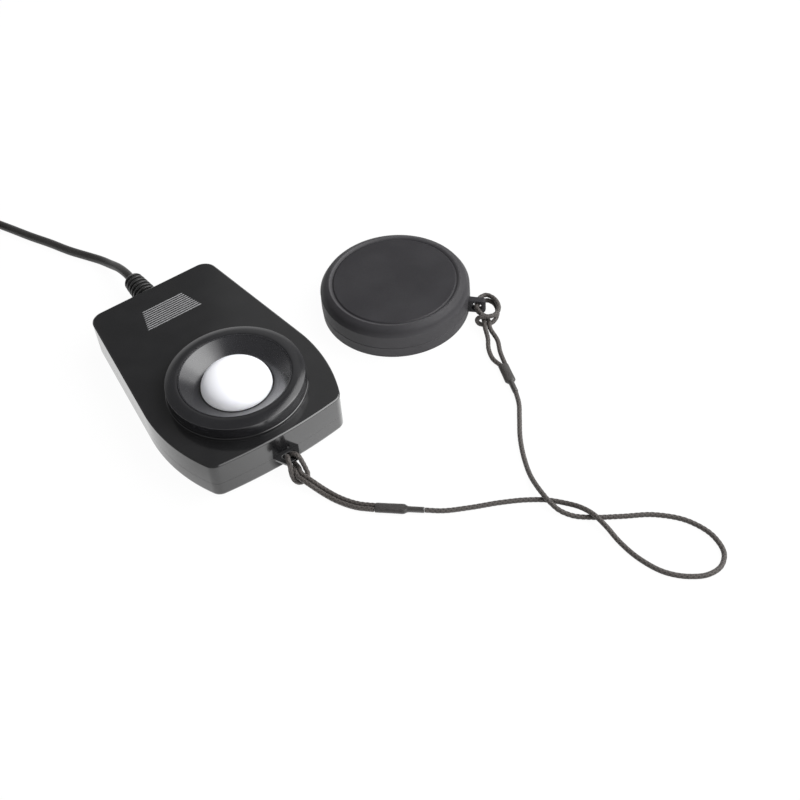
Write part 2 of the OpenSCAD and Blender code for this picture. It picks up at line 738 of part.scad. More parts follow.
module coil_tie() {
  slack = 0.1;
  swell = coil_pitch / 8 + slack;
  near = coil_in_r - lead_r - swell - 0.5;
  far = coil_out_r + lead_r + swell;
  top = coil_z + 3 * coil_pitch + lead_r + slack;
  round_r = 2;
  color("#1b1b1d") translate([coil_at.x - tie_w / 2, coil_at.y, 0]) rotate([90, 0, 90])
    linear_extrude(tie_w) difference() {
      rounded_box(near - tie_t, 0, far + tie_t, top + tie_t, round_r);
      rounded_box(near, tie_t, far, top, round_r - tie_t);
    }
}

module rounded_box(x0, y0, x1, y1, r) {
  translate([x0 + r, y0]) square([x1 - x0 - 2 * r, y1 - y0]);
  translate([x0, y0 + r]) square([x1 - x0, y1 - y0 - 2 * r]);
  for (x = [x0 + r, x1 - r], y = [y0 + r, y1 - r]) translate([x, y]) circle(r = r);
}

// Places along the plug, measured from where the lead enters it
jack_from = plug_tail_l + plug_l;
band_l = 1.2;
tip_l = 3.6;
ring_l = 2.4;
sleeve_l = jack_l - tip_l - ring_l - 2 * band_l;
core_r = jack_r * 0.45;

module along_plug(s = 0) {
  translate([plug_at.x, plug_at.y - s, plug_at.z]) rotate([90, 0, 0]) children();
}

module plug_grip() {
  shoulder = 0.8;
  rib_n = 5;
  rib_pitch = plug_tail_l / (rib_n + 1);
  function tail_r(s) = lead_r + 0.7 + (plug_r * 0.8 - lead_r - 0.7) * s / plug_tail_l;
  ribs = [
    for (i = [1 : rib_n]) let (s = i * rib_pitch) each [
      [tail_r(s) - 0, s - rib_pitch / 4], [tail_r(s) - 0.4, s - rib_pitch / 8],
      [tail_r(s) - 0.4, s + rib_pitch / 8], [tail_r(s), s + rib_pitch / 4]
    ]
  ];
  color("#242426") along_plug() rotate_extrude() polygon(concat(
    [[0, 0], [lead_r + 0.7, 0]], ribs,
    [[plug_r - shoulder, plug_tail_l], [plug_r, plug_tail_l + shoulder], [plug_r, jack_from - shoulder],
      [plug_r - shoulder, jack_from], [0, jack_from]]
  ));
}

module plug_sleeve() {
  color(steel) along_plug(jack_from) tube(jack_r, core_r + fit, sleeve_l);
}

module plug_insulators() {
  ring_from = sleeve_l + band_l;
  color("#151517") along_plug(jack_from) {
    translate([0, 0, sleeve_l]) tube(jack_r, core_r + fit, band_l);
    translate([0, 0, ring_from + ring_l]) tube(jack_r, core_r + fit, band_l);
  }
}

module plug_ring() {
  color(steel) along_plug(jack_from + sleeve_l + band_l) tube(jack_r, core_r + fit, ring_l);
}

module plug_tip() {
  tip_from = jack_l - tip_l;
  waist = jack_r * 0.72;
  color(steel) along_plug(jack_from) rotate_extrude() polygon([
    [0, 0], [core_r, 0], [core_r, tip_from], [jack_r, tip_from], [waist, tip_from + tip_l * 0.35],
    [jack_r * 0.95, tip_from + tip_l * 0.62], [jack_r * 0.5, jack_l - 0.3], [0, jack_l]
  ]);
}

// Loop hitched round the tab's bar: legs over the bar, then the pair of strands through the bight.
// Leg points hang on the bar, right side first; y and z are measured from the bar
bar_y = tab_tip_y + slot_bar / 2;
bar_z = parting_z - tab_t / 2;
leg_route = [
  [0.82, -1.7, -2.1], [1.05, 0.4, -2.1], [1.35, 1.55, -1.5], [1.45, 1.95, 0], [1.48, 1.55, 1.6],
  [1.52, 0.5, 2.2], [1.62, -0.6, 2.2], [1.8, -1.55, 1.5], [2.1, -2, 0.2], [2.4, -2.5, -1.3],
  [2.5, -3.2, -2.7], [2.35, -4.3, -3.8], [1.5, -5.4, -4.3], [0, -5.8, -4.3]
];
function leg(side) = [for (p = leg_route) [side * p.x, bar_y + p.y, max(bar_z + p.z, cord_r + 0.05)]];
// Middle line of the two strands between the bight and the sleeve
strand_route = [[0.1, -51.6, 2.8], [0.7, -54.2, 2.6], [1.6, -57, 2.1], [2.8, -60, 1.2],
  [5.2, -66.4, 0.8], [8.2, -71.6, 0.8], [11.88, -75.79, 1.1]];
strand_gap = 0.8;
function strand(route, side) = let (t = tangents(route))
  [for (i = [0 : len(route) - 1]) route[i] + side * strand_gap * unit([t[i].y, -t[i].x, 0])];
function backwards(p) = [for (i = [len(p) - 1 : -1 : 0]) p[i]];
function without_first(p) = [for (i = [1 : len(p) - 1]) p[i]];
housing_loop_route = concat(
  backwards(strand(strand_route, -1)), leg(1),
  without_first(backwards(leg(-1))), strand(strand_route, 1)
);

module housing_loop() {
  color(cord_black) cord(housing_loop_route, cord_d, 8, [1, 0, 0]);
}

// Shrunk sleeves: an oval over the doubled strands, then a round neck over the single cord
module cord_sleeve(from, to) {
  d = to - from;
  wide_u = 2 * strand_gap + cord_r - 0.55;
  wide_v = cord_r + 0.3;
  neck = cord_r + 0.2;
  stations = [[0, wide_u, wide_v], [0.3, wide_u, wide_v], [0.57, wide_u * 1.04, wide_v],
    [0.62, wide_u * 0.8, wide_v], [0.66, neck, neck], [1, neck, neck]];
  route = [for (s = stations) from + s[0] * d];
  skin(sweep_rings(route, [for (s = stations) [s[2], s[1]]], 12, [0, 0, 1]));
}

sleeve_a_from = [12, -75.9, 1.15];
sleeve_a_to = [23.4, -86, 1];
module housing_sleeve() {
  color("#47474a") cord_sleeve(sleeve_a_from, sleeve_a_to);
}

// Route of the single cord over the floor, with two humps where it crosses itself
floor_z = 0.76;
tether_route = [
  [23.48, -86.08, 1], [27.2, -89.2, 0.8], [35.1, -93.8, floor_z], [43.5, -98, floor_z],
  [50.6, -102.3, floor_z], [55.2, -106, floor_z], [58.8, -110.6, 1], [60.8, -115, 1.9],
  [61.8, -119.6, 2.45], [62.1, -125, 1.9], [62, -131, floor_z], [62.5, -140, floor_z],
  [65, -147.6, floor_z], [69.6, -153, floor_z], [74.2, -155.7, floor_z], [79, -155.9, floor_z],
  [82.8, -153.5, floor_z], [85, -147.5, floor_z], [83.4, -138.8, floor_z], [77.2, -130.6, floor_z],
  [68.6, -124.6, floor_z], [61.5, -119.4, floor_z], [57.6, -115.6, floor_z], [55.4, -111.6, 1.3],
  [54.7, -107.6, 2.3], [55, -104, 2.45], [55.9, -100, 1.9], [57.6, -95.2, floor_z],
  [60.2, -89.4, floor_z], [65, -81.4, floor_z], [70, -75, floor_z], [74, -69.8, 0.85],
  [76.22, -65.5, 1]
];

module tether_run() {
  color(cord_black) cord(tether_route, cord_d, 8);
}

sleeve_b_from = [80.6, -53.4, 1.15];
sleeve_b_to = [76.25, -65.4, 1];
module cap_sleeve() {
  color("#47474a") cord_sleeve(sleeve_b_from, sleeve_b_to);
}

// Loop hitched through the eye of the cap's fin, in places along, across and above the fin:
// out of the eye on the far side, round the nose, over the strands and back under them
function from_fin(p) = [
  cap_at.x + p.x * cos(fin_angle) - p.y * sin(fin_angle),
  cap_at.y + p.x * sin(fin_angle) + p.y * cos(fin_angle), p.z
];
hitch_route = [
  [33.4, -9.5, 2.6], [32.5, -6.6, 3.35], [30.9, -4.2, 4.3], [29.5, -2.6, 4.65], [29.1, 0, 4.65],
  [29.7, 2.8, 4.65], [31.6, 4.4, 4.7], [34.1, 3.4, 4.8], [36.2, 0.8, 4.9], [37.1, -2.6, 5],
  [35.9, -5.6, 5], [33.4, -6.8, 5.1], [31.2, -7.1, 4.8], [30.3, -7, 3.4], [30.5, -6.9, 2],
  [31.6, -6.7, 1.05], [33.6, -6.2, 0.85], [35.6, -4.6, 0.95], [36.5, -2, 1.6], [36.2, 0.2, 2.5],
  [34.4, 2.6, 3.05], [31.9, 3.5, 3], [29.9, 2.4, 2.95], [29.1, 0, 2.95], [30.1, -2.7, 2.9],
  [32.7, -4.2, 2.7], [34.3, -6.4, 2.6], [35, -9, 2.4]
];
cap_loop_route = concat(
  [sleeve_b_from + [-0.71, 0.37, 0], [79.9, -48.9, 0.9], [81.6, -44.4, 1.1], [84.4, -40.4, 1.6]],
  [for (p = hitch_route) from_fin(p)],
  [[86.2, -43.6, 1.5], [84, -47.6, 1], sleeve_b_from + [0.8, -0.18, 0]]
);

module cap_loop() {
  color(cord_black) cord(cap_loop_route, cord_d, 8, [0, 0, 1]);
}

module sensor_cap() {
  inner_h = cap_h - cap_top_t;
  lead_in = 0.5;
  wall_r = cap_wall_r;
  foot_z = cap_h - cap_slope_h;
  slope = unit([cap_slope_w, -cap_slope_h]);
  // The shoulder bows out a little between its crest and its foot
  shoulder = [
    for (i = [0 : 4]) let (t = i / 4)
      [wall_r - cap_slope_w * t, foot_z + cap_slope_h * t] + 4 * t * (1 - t) * cap_bow * [-slope.y, slope.x]
  ];
  color(soft_black) translate([cap_at.x, cap_at.y, 0]) {
    difference() {
      union() {
        rotate_extrude() polygon(concat(
          [[0, 0], [wall_r, 0], [cap_r, cap_line], [cap_r, cap_line_z], [wall_r, cap_line_z + cap_line],
            [wall_r, foot_z - 2 * cap_step], [wall_r - cap_step, foot_z - cap_step]],
          shoulder, [[0, cap_h]]
        ));
        rotate(fin_angle) translate([0, 0, eye_z - fin_h / 2]) linear_extrude(fin_h) {
          translate([cap_r - 1, -fin_t / 2]) square([fin_l + 1 - fin_t / 2, fin_t]);
          translate([cap_r + fin_l - fin_t / 2, 0]) circle(d = fin_t);
        }
      }
      translate([0, 0, -over]) cylinder(r = cap_in_r, h = inner_h + over);
      translate([0, 0, -over]) cylinder(r1 = cap_in_r + lead_in + over, r2 = cap_in_r, h = lead_in + over);
      translate([0, 0, cap_h - cap_groove])
        tube(cap_groove_r + cap_groove_w, cap_groove_r, cap_groove + over);
      translate([0, 0, cap_h - cap_groove / 2]) cylinder(r = cap_groove_r + over / 4, h = cap_groove + over);
      rotate(fin_angle) translate([eye_u, 0, eye_z]) rotate([90, 0, 0])
        cylinder(r = eye_r, h = fin_t + 2 * over, center = true);
    }
  }
}

bottom_shell();
top_shell();
case_screws();
thumb_grip();
sensor_collar();
sensor_dish();
diffuser_dome();
dome_seal();
colour_filter();
filter_holder();
photodiode();
sensor_board();
board_screws();
inner_wires();
strain_relief();
lead();
lead_coil();
lead_tail();
coil_tie();
plug_grip();
plug_insulators();
plug_sleeve();
plug_ring();
plug_tip();
housing_loop();
housing_sleeve();
tether_run();
cap_sleeve();
cap_loop();
sensor_cap();
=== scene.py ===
# %% [markdown]
# # The remote light sensor of a lux meter
# This file dresses a finished solid model: it loads the imported solids as a fixed frame, lays
# smooth surfaces over them, gives each surface its finish, and lights the result like a
# catalogue photo. Sizes of the part are in millimetres, because that is how such a part is
# drawn, and they become metres in one place, where a mesh is made. Table and lamps are in
# metres.

# %% Load the frame
from itertools import accumulate

import bpy
import numpy as np
from mathutils import Matrix, Vector


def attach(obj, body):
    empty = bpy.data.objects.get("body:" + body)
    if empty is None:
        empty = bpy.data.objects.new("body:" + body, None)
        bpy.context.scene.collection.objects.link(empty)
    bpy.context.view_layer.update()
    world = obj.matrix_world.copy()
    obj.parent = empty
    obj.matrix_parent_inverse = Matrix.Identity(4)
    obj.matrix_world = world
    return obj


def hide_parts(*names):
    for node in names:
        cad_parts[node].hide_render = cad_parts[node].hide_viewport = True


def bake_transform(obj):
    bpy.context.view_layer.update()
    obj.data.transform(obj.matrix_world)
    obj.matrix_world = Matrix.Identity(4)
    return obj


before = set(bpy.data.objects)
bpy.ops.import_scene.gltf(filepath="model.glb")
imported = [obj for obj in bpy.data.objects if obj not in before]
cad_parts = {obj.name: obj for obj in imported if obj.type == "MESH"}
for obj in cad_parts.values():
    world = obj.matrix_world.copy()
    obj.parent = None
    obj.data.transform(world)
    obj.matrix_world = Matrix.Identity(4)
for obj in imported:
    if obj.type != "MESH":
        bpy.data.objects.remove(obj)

MM = 0.001
studio = bpy.context.scene
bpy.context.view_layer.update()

# %% [markdown]
# ## The camera
# The view was worked out from the circles of collar, dish, dome and cap and from the edges of
# the housing. Three unit vectors say where the picture's right, its top and the line of sight
# point, so the camera's turn is a matrix with those vectors as columns. That is plainer than
# three angles, and nothing has to be aimed by eye.

# %% The camera
CAMERA_AT = (-106.49, -283.64, 310.90)
PICTURE_RIGHT = Vector((0.8095, -0.5843, -0.05748))
PICTURE_UP = Vector((0.4644, 0.57732, 0.67159))
LINE_OF_SIGHT = Vector((0.35923, 0.57035, -0.73869))

lens = bpy.data.cameras.new("photo_camera")
lens.sensor_width = 36.0
lens.lens = 57.03
lens.clip_start, lens.clip_end = 0.01, 50.0
camera = bpy.data.objects.new("photo_camera", lens)
studio.collection.objects.link(camera)
turn = Matrix((PICTURE_RIGHT, PICTURE_UP, -LINE_OF_SIGHT)).transposed().to_4x4()
camera.matrix_world = Matrix.Translation(Vector(CAMERA_AT) * MM) @ turn
studio.camera = camera
studio.view_settings.view_transform = "Standard"
print("camera at", CAMERA_AT, "mm")

# %% [markdown]
# ## From grids of points to closed skins
# Every piece here is a grid of points, row after row, worked out as one array. Columns run
# round the piece and meet again. Rows either meet again too, as on a ring, or end in a fan
# of triangles. The enclosed volume tells which way the faces look, so they can be turned
# outwards without guessing.


# %% Skins and pieces
def closed_skin(grid, ring=False):
    """Points, quads and triangles of a closed surface from a grid of points.

    Each quad joins a point with its neighbours in the next column and the next row. Where the
    rows don't meet, the middle of the first and of the last row closes that end in a fan.
    A sixth of the sum of triple products gives the volume; where it is negative, faces turn.
    """
    rows, cols = grid.shape[:2]
    points = grid.reshape(-1, 3)
    a, b = np.meshgrid(np.arange(rows if ring else rows - 1), np.arange(cols), indexing="ij")
    a2, b2 = (a + 1) % rows, (b + 1) % cols
    quads = np.stack([a * cols + b, a * cols + b2, a2 * cols + b2, a2 * cols + b], -1)
    quads = quads.reshape(-1, 4)
    tris = np.empty((0, 3), int)
    if not ring:
        here, there = np.arange(cols), np.roll(np.arange(cols), -1)
        first, last = np.full(cols, len(points)), np.full(cols, len(points) + 1)
        end = (rows - 1) * cols
        tris = np.vstack([
            np.stack([first, there, here], -1), np.stack([last, end + here, end + there], -1)])
        points = np.vstack([points, grid[0].mean(0), grid[-1].mean(0)])
    corners = points[np.vstack([quads[:, [0, 1, 2]], quads[:, [0, 2, 3]], tris])]
    volume = np.einsum("ij,ij->i", corners[:, 0], np.cross(corners[:, 1], corners[:, 2])).sum() / 6
    if volume < 0:
        quads, tris = quads[:, ::-1], tris[:, ::-1]
    return points, quads, tris


def make_piece(name, skins, sharp_deg=40.0, **point_values):
    """One smooth-shaded object from closed skins; point_values become attributes of its points."""
    starts = np.cumsum([0] + [len(points) for points, _, _ in skins])
    faces = [
        f for (_, quads, tris), s in zip(skins, starts)
        for f in (quads + s).tolist() + (tris + s).tolist()]
    mesh = bpy.data.meshes.new(name)
    mesh.from_pydata(np.vstack([points for points, _, _ in skins]) * MM, [], faces)
    mesh.shade_smooth()
    mesh.set_sharp_from_angle(angle=np.radians(sharp_deg))
    for key, values in point_values.items():
        drawn = mesh.attributes.new(key, "FLOAT", "POINT").data
        drawn.foreach_set("value", np.asarray(values, np.float32))
    piece = bpy.data.objects.new(name, mesh)
    studio.collection.objects.link(piece)
    print(f"{name}: {len(mesh.vertices)} points, {len(mesh.polygons)} faces")
    return piece


# %% [markdown]
# ## Profiles with rounded corners
# A moulded part has no knife edges, and its thin bright edge lines come from those small
# roundings. A profile is therefore a few corner points with a radius each. Two extra points
# beside every rounding keep the large faces next to it flat in the shading.


# %% Rounded profiles, turned pieces and smooth lines
def unit(vectors):
    """Vectors divided by their own lengths."""
    return vectors / np.linalg.norm(vectors, axis=-1, keepdims=True)


def full_turn(sides):
    """Angles that share out one full turn, without the last, which is the first again."""
    return np.linspace(0, 2 * np.pi, sides, endpoint=False)


def rounded(corners, steps=7, beside=0.08, closed=False):
    """A profile with its corners replaced by arcs, from rows of (first, second, radius).

    The arc's centre lies on the line that halves the corner, the radius divided by the sine of
    half the corner's angle away. Points on the arc turn evenly from one straight to the other.
    """
    corners = np.asarray(corners, float)
    at, radius = corners[:, :2], corners[:, 2:]
    if not closed:
        ends, at, radius = at[[0, -1]], at[1:-1], radius[1:-1]
        to_last, to_next = np.vstack([ends[:1], at[:-1]]) - at, np.vstack([at[1:], ends[1:]]) - at
    else:
        to_last, to_next = np.roll(at, 1, 0) - at, np.roll(at, -1, 0) - at
    to_last, to_next = unit(to_last), unit(to_next)
    half = np.arccos(np.clip((to_last * to_next).sum(1, keepdims=True), -1, 1)) / 2
    centre = at + unit(to_last + to_next) * radius / np.sin(half)
    cut = radius / np.tan(half)
    spoke_a, spoke_b = at + to_last * cut - centre, at + to_next * cut - centre
    sweep = np.pi - 2 * half[:, None]
    t = np.linspace(0, 1, steps)[None, :, None]
    arc = centre[:, None] + (
        np.sin((1 - t) * sweep) * spoke_a[:, None] + np.sin(t * sweep) * spoke_b[:, None]
    ) / np.sin(sweep)
    before, after = at + to_last * (cut + beside), at + to_next * (cut + beside)
    line = np.concatenate([before[:, None], arc, after[:, None]], 1).reshape(-1, 2)
    return line if closed else np.vstack([ends[:1], line, ends[1:]])


def turned(profile, centre, sides=160, axis="z"):
    """Grid of a profile of (radius, height) turned about an upright line, or about one along Y."""
    r, h = np.asarray(profile, float).T
    angle = full_turn(sides)
    x, y = r[:, None] * np.cos(angle), r[:, None] * np.sin(angle)
    height = np.broadcast_to(h[:, None], x.shape)
    place = np.stack([x, y, height] if axis == "z" else [x, height, y], -1)
    return place + np.asarray(centre, float)


def smooth_line(points, step):
    """A curve through points, sampled at an even step.

    Between two points the curve is a cubic whose slopes at both are those of a parabola
    through three neighbours; lengths along a fine sampling give the even spacing.
    """
    p = np.asarray(points, float)
    s = np.r_[0, np.cumsum(np.linalg.norm(np.diff(p, axis=0), axis=1))]
    slope = np.gradient(p, s, axis=0)
    fine = np.linspace(0, s[-1], 24 * len(p))
    i = np.clip(np.searchsorted(s, fine, side="right") - 1, 0, len(p) - 2)
    h = (s[i + 1] - s[i])[:, None]
    t = (fine - s[i])[:, None] / h
    curve = (2 * t**3 - 3 * t**2 + 1) * p[i] + (t**3 - 2 * t**2 + t) * h * slope[i]
    curve += (3 * t**2 - 2 * t**3) * p[i + 1] + (t**3 - t**2) * h * slope[i + 1]
    length = np.r_[0, np.cumsum(np.linalg.norm(np.diff(curve, axis=0), axis=1))]
    even = np.linspace(0, length[-1], int(round(length[-1] / step)) + 1)
    return np.stack([np.interp(even, length, curve[:, k]) for k in range(3)], -1)


def carried(path, radii, sides, start=(0.0, 0.0, 1.0), ripple=0.0):
    """Grid of an oval carried along a path: at each point, cosine times one normal plus sine
    times the other. The first normal starts at the given direction and is carried on by
    taking out the part along the path. radii holds (first, second) for each point."""
    tangent = unit(np.gradient(path, axis=0))
    first = unit(np.asarray(start, float) - tangent[0] * np.dot(start, tangent[0]))
    normal = np.array(list(accumulate(
        tangent[1:], lambda n, t: unit(n - t * np.dot(n, t)), initial=first)))
    other = np.cross(tangent, normal)
    angle = full_turn(sides)
    radii = np.broadcast_to(np.asarray(radii, float), (len(path), 2))
    out_a = (radii[:, :1] + ripple) * np.cos(angle)
    out_b = (radii[:, 1:] + ripple) * np.sin(angle)
    return path[:, None] + out_a[..., None] * normal[:, None] + out_b[..., None] * other[:, None]


def length_of(path):
    """Sum of the distances between neighbours on a path."""
    return float(np.linalg.norm(np.diff(path, axis=0), axis=1).sum())


print("square corner of radius 1:", len(rounded([(0, 0, 0), (5, 0, 1), (5, 5, 0)])), "points")

# %% [markdown]
# ## Finishes
# A finish is a small tree of shader nodes. Colours are written as the hex values one would
# pick on a screen, and one function turns them into the linear values that a shader needs.
# Patterns use Object coordinates, which are metres here, so a noise of scale 1000 divided by
# a size in millimetres has features of that size.


# %% Colour and node helpers
def linear(hex_code):
    """Linear red, green, blue and full alpha of an sRGB hex colour, by the sRGB curve."""
    c = np.array([int(hex_code[i:i + 2], 16) for i in (1, 3, 5)]) / 255
    return (*np.where(c <= 0.04045, c / 12.92, ((c + 0.055) / 1.055) ** 2.4).tolist(), 1.0)


def add(tree, kind, inputs=(), **settings):
    """Adds one node; inputs are values or other nodes' outputs, settings are its properties."""
    made = tree.nodes.new(kind)
    for key, value in settings.items():
        setattr(made, key, value)
    for key, value in dict(inputs).items():
        if isinstance(value, bpy.types.NodeSocket):
            tree.links.new(value, made.inputs[key])
        else:
            made.inputs[key].default_value = value
    return made


def maths(tree, operation, *values):
    """The output of one math node on values or other nodes' outputs."""
    return add(tree, "ShaderNodeMath", dict(enumerate(values)), operation=operation).outputs[0]


def ramp(tree, value, low, high, at_low, at_high, bend="LINEAR"):
    """The output of one node that maps the values from low to high on at_low to at_high."""
    return add(tree, "ShaderNodeMapRange", {
        "Value": value, "From Min": low, "From Max": high, "To Min": at_low, "To Max": at_high},
        interpolation_type=bend).outputs[0]


def new_tree(name):
    """An empty material of that name with its node tree and its place in the object."""
    material = bpy.data.materials.new(name)
    material.use_nodes = True
    material.node_tree.nodes.clear()
    tree = material.node_tree
    return material, tree, add(tree, "ShaderNodeTexCoord").outputs["Object"]


def finish_of(name, dark, light, rough, cloud_mm, grain_mm, grain_high_mm, weave=None, **sockets):
    """A finish whose colour drifts between two tones in clouds, with a fine grain as bump.

    The grain also spreads the roughness between its two values. Where weave names an attribute
    of the points, which carries painted light and shade, the colour follows that, with only a
    trace of clouds. sockets are constants.
    """
    material, tree, place = new_tree(name)
    cloud, grain = (
        add(tree, "ShaderNodeTexNoise", {"Vector": place, "Scale": 1000 / size, "Detail": detail})
        for size, detail in ((cloud_mm, 3.0), (grain_mm, 2.0)))
    tone = ramp(tree, cloud.outputs[0], 0.35, 0.65, 0.0, 0.1 if weave else 1.0)
    if weave:
        drawn = add(tree, "ShaderNodeAttribute", attribute_name=weave).outputs["Fac"]
        tone = maths(tree, "ADD", drawn, tone)
    colour = add(tree, "ShaderNodeMixRGB", {
        "Fac": tone, "Color1": linear(dark), "Color2": linear(light)})
    spread = ramp(tree, grain.outputs[0], 0.3, 0.7, *rough)
    bump = add(tree, "ShaderNodeBump", {
        "Height": grain.outputs[0], "Strength": 1.0, "Distance": grain_high_mm * MM})
    shader = add(tree, "ShaderNodeBsdfPrincipled", {
        "Base Color": colour.outputs[0], "Roughness": spread, "Normal": bump.outputs[0]})
    for key, value in sockets.items():
        shader.inputs[key.replace("_", " ")].default_value = value
    add(tree, "ShaderNodeOutputMaterial", {"Surface": shader.outputs[0]})
    print("finish:", name)
    return material


# %% [markdown]
# ## What the pieces are made of
# The housing is black ABS, moulded in a tool with a fine satin surface: the eye sees deep
# black, clear reflections and pale rims. Collar and dish come from duller tools. The cap is
# a softer, matt vinyl. The lead is PVC, the tether a braid of nylon threads, and its sleeves
# are shrunk polyolefin tube.

# %% The finishes
# Satin moulded ABS: deep black with clear, slightly softened reflections
satin_abs = finish_of(
    "black_abs_satin", "#161617", "#1a1a1b", (0.12, 0.16), 9.0, 0.35, 0.0012, IOR=1.54)
# Duller moulded ABS of the collar: a broad, soft light along its shoulder
collar_abs = finish_of(
    "black_abs_collar", "#18181a", "#1c1c1e", (0.17, 0.22), 9.0, 0.35, 0.001, IOR=1.54)
# Dull black ABS of the dish: a soft patch of light on its wall, and a pale image of the dome
dish_abs = finish_of(
    "black_abs_dish", "#19191c", "#1d1d20", (0.24, 0.28), 7.0, 0.3, 0.0008, IOR=1.54)
# Grey ABS of the ribbed grip: a painted highlight on the crests and painted shade in the valleys
# between them
grip_abs = finish_of(
    "grey_abs_grip", "#2a2a2b", "#747476", (0.34, 0.42), 5.0, 0.3, 0.001, weave="crest", IOR=1.54)
# Opal acrylic: white all through, light spreads inside it, and the surface is silky
opal_acrylic = finish_of(
    "opal_acrylic", "#f0f1fc", "#f5f6fe", (0.34, 0.4), 12.0, 0.25, 0.001, IOR=1.49,
    Subsurface_Weight=0.5, Subsurface_Scale=0.003, Subsurface_Radius=(1.0, 1.0, 1.0))
# Painted glow: the opal emits a little light near its foot, fading out upwards, so the foot isn't
# grey
GLOW_FOOT_Z, GLOW_END_Z, FOOT_GLOW = 15.5, 18.7, 0.2
opal = opal_acrylic.node_tree
opal_place = add(opal, "ShaderNodeTexCoord").outputs["Object"]
opal_height = add(opal, "ShaderNodeSeparateXYZ", {0: opal_place}).outputs["Z"]
painted_foot_glow = ramp(opal, opal_height, GLOW_FOOT_Z * MM, GLOW_END_Z * MM, FOOT_GLOW, 0.0)
opal.links.new(painted_foot_glow, opal.nodes["Principled BSDF"].inputs["Emission Strength"])
# Soft vinyl of the cap: charcoal and matt, with a painted highlight on the crest by the groove and
# painted light on the wall
cap_vinyl = finish_of(
    "charcoal_vinyl", "#201f22", "#4c4b4d", (0.52, 0.62), 14.0, 0.45, 0.003, weave="rub", IOR=1.52,
    Specular_IOR_Level=0.24)
# Flexible PVC of the lead and of the moulded strain relief
lead_pvc = finish_of(
    "black_pvc_lead", "#1b1a19", "#21201f", (0.42, 0.52), 6.0, 0.5, 0.006, IOR=1.53)
relief_pvc = finish_of(
    "black_pvc_relief", "#0e0e0e", "#141414", (0.34, 0.44), 5.0, 0.4, 0.006, IOR=1.53)
# Braided nylon: brown-black threads, with a painted highlight on the raised threads and painted
# shade in the gaps between them
nylon_braid = finish_of(
    "braided_nylon", "#090706", "#3f3a37", (0.6, 0.75), 3.0, 0.2, 0.01, weave="weave", IOR=1.53,
    Sheen_Weight=0.15, Sheen_Roughness=0.4)
# Shrunk polyolefin tube: dark, faintly brown, with a soft shine
shrink_tube = finish_of(
    "shrunk_polyolefin", "#2c2a29", "#353332", (0.32, 0.42), 2.5, 0.4, 0.01, IOR=1.5)
# Woven hook tape of the tie
tie_weave = finish_of("woven_tie", "#141415", "#232325", (0.75, 0.9), 1.2, 0.5, 0.05, IOR=1.5)
# Moulded PVC of the plug
plug_pvc = finish_of(
    "black_pvc_plug", "#191919", "#1f1f1f", (0.35, 0.45), 6.0, 0.5, 0.008, IOR=1.53)

# %% Finishes of the small parts that stay as solids
small_parts = {
    # Zinc-plated steel: pale grey with a faint grain
    "case_screws": finish_of(
        "zinc_plated_steel", "#9a9a9c", "#b4b4b6", (0.28, 0.4), 2.0, 0.2, 0.004, Metallic=1.0),
    "board_screws": finish_of(
        "nickel_plated_steel", "#a9a69f", "#bdbab2", (0.25, 0.35), 2.0, 0.2, 0.003, Metallic=1.0),
    # Silicone rubber: black and dull
    "dome_seal": finish_of(
        "silicone_seal", "#121213", "#1a1a1b", (0.65, 0.8), 3.0, 0.3, 0.01, IOR=1.41),
    # Green absorption glass over the diode
    "colour_filter": finish_of(
        "green_filter_glass", "#5f9a58", "#69a562", (0.04, 0.08), 4.0, 0.5, 0.0005, IOR=1.52,
        Transmission_Weight=0.85),
    # Matt black nylon of the tube, which swallows stray light
    "filter_holder": finish_of(
        "matt_black_nylon", "#161617", "#202021", (0.55, 0.7), 4.0, 0.4, 0.01, IOR=1.53),
    # Gold-plated can of the diode
    "photodiode": finish_of(
        "gold_plated_can", "#c9a655", "#d8b768", (0.2, 0.3), 2.0, 0.2, 0.003, Metallic=1.0),
    # Glass-fibre board under green solder mask, with its weave showing faintly
    "sensor_board": finish_of(
        "solder_masked_board", "#1d4a2e", "#27603c", (0.3, 0.4), 1.2, 0.6, 0.01, IOR=1.55),
    # Nickel-plated brass contacts of the jack and the black bands between them
    "plug_sleeve": finish_of(
        "nickel_plated_brass", "#b9b5ab", "#cac6bb", (0.16, 0.26), 3.0, 0.25, 0.002, Metallic=1.0),
    "plug_insulators": finish_of(
        "jack_insulator", "#0f0f10", "#171718", (0.35, 0.45), 2.0, 0.3, 0.004, IOR=1.5),
}
small_parts["plug_ring"] = small_parts["plug_tip"] = small_parts["plug_sleeve"]
for node_name, finish in small_parts.items():
    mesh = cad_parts[node_name].data
    mesh.materials.clear()
    mesh.materials.append(finish)
# Thin PVC of the two inner wires: dull red
wire_pvc = finish_of("red_pvc_wire", "#8e2b25", "#a5352e", (0.4, 0.5), 3.0, 0.3, 0.005, IOR=1.53)
print("solids with a finish of their own:", len(small_parts))


def dress(piece, finish, nodes, body="housing"):
    """Gives a piece its finish, hides the solids it stands for, and lets it ride on a given body.
    """
    piece.data.materials.append(finish)
    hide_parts(*nodes)
    if body:
        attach(piece, body)
    return piece


# %% [markdown]
# ## The lead, its coil and its plug
# The lead leaves the housing through the strain relief, drops to the table and runs out of
# the picture. The rest of its one and a half metres is put away in a round coil of four layers
# with a tie, just outside the view, and the plug lies beside it. The coil is a formula: the
# radius shrinks and grows from layer to layer while the angle runs on, and half a turn
# between layers climbs by one cord.

# %% The lead
LEAD_D = 3.2
RELIEF_TIP = (0.0, 59.5, 6.9)
COIL_AT = np.array([-52.0, 143.0])
COIL_IN, COIL_PITCH, COIL_TURNS, COIL_Z = 14.55, 3.7, 2.5, 2.2
COIL_OUT = COIL_IN + COIL_PITCH * COIL_TURNS
PLUG_AT = np.array([-79.6, 98.0, 4.6])

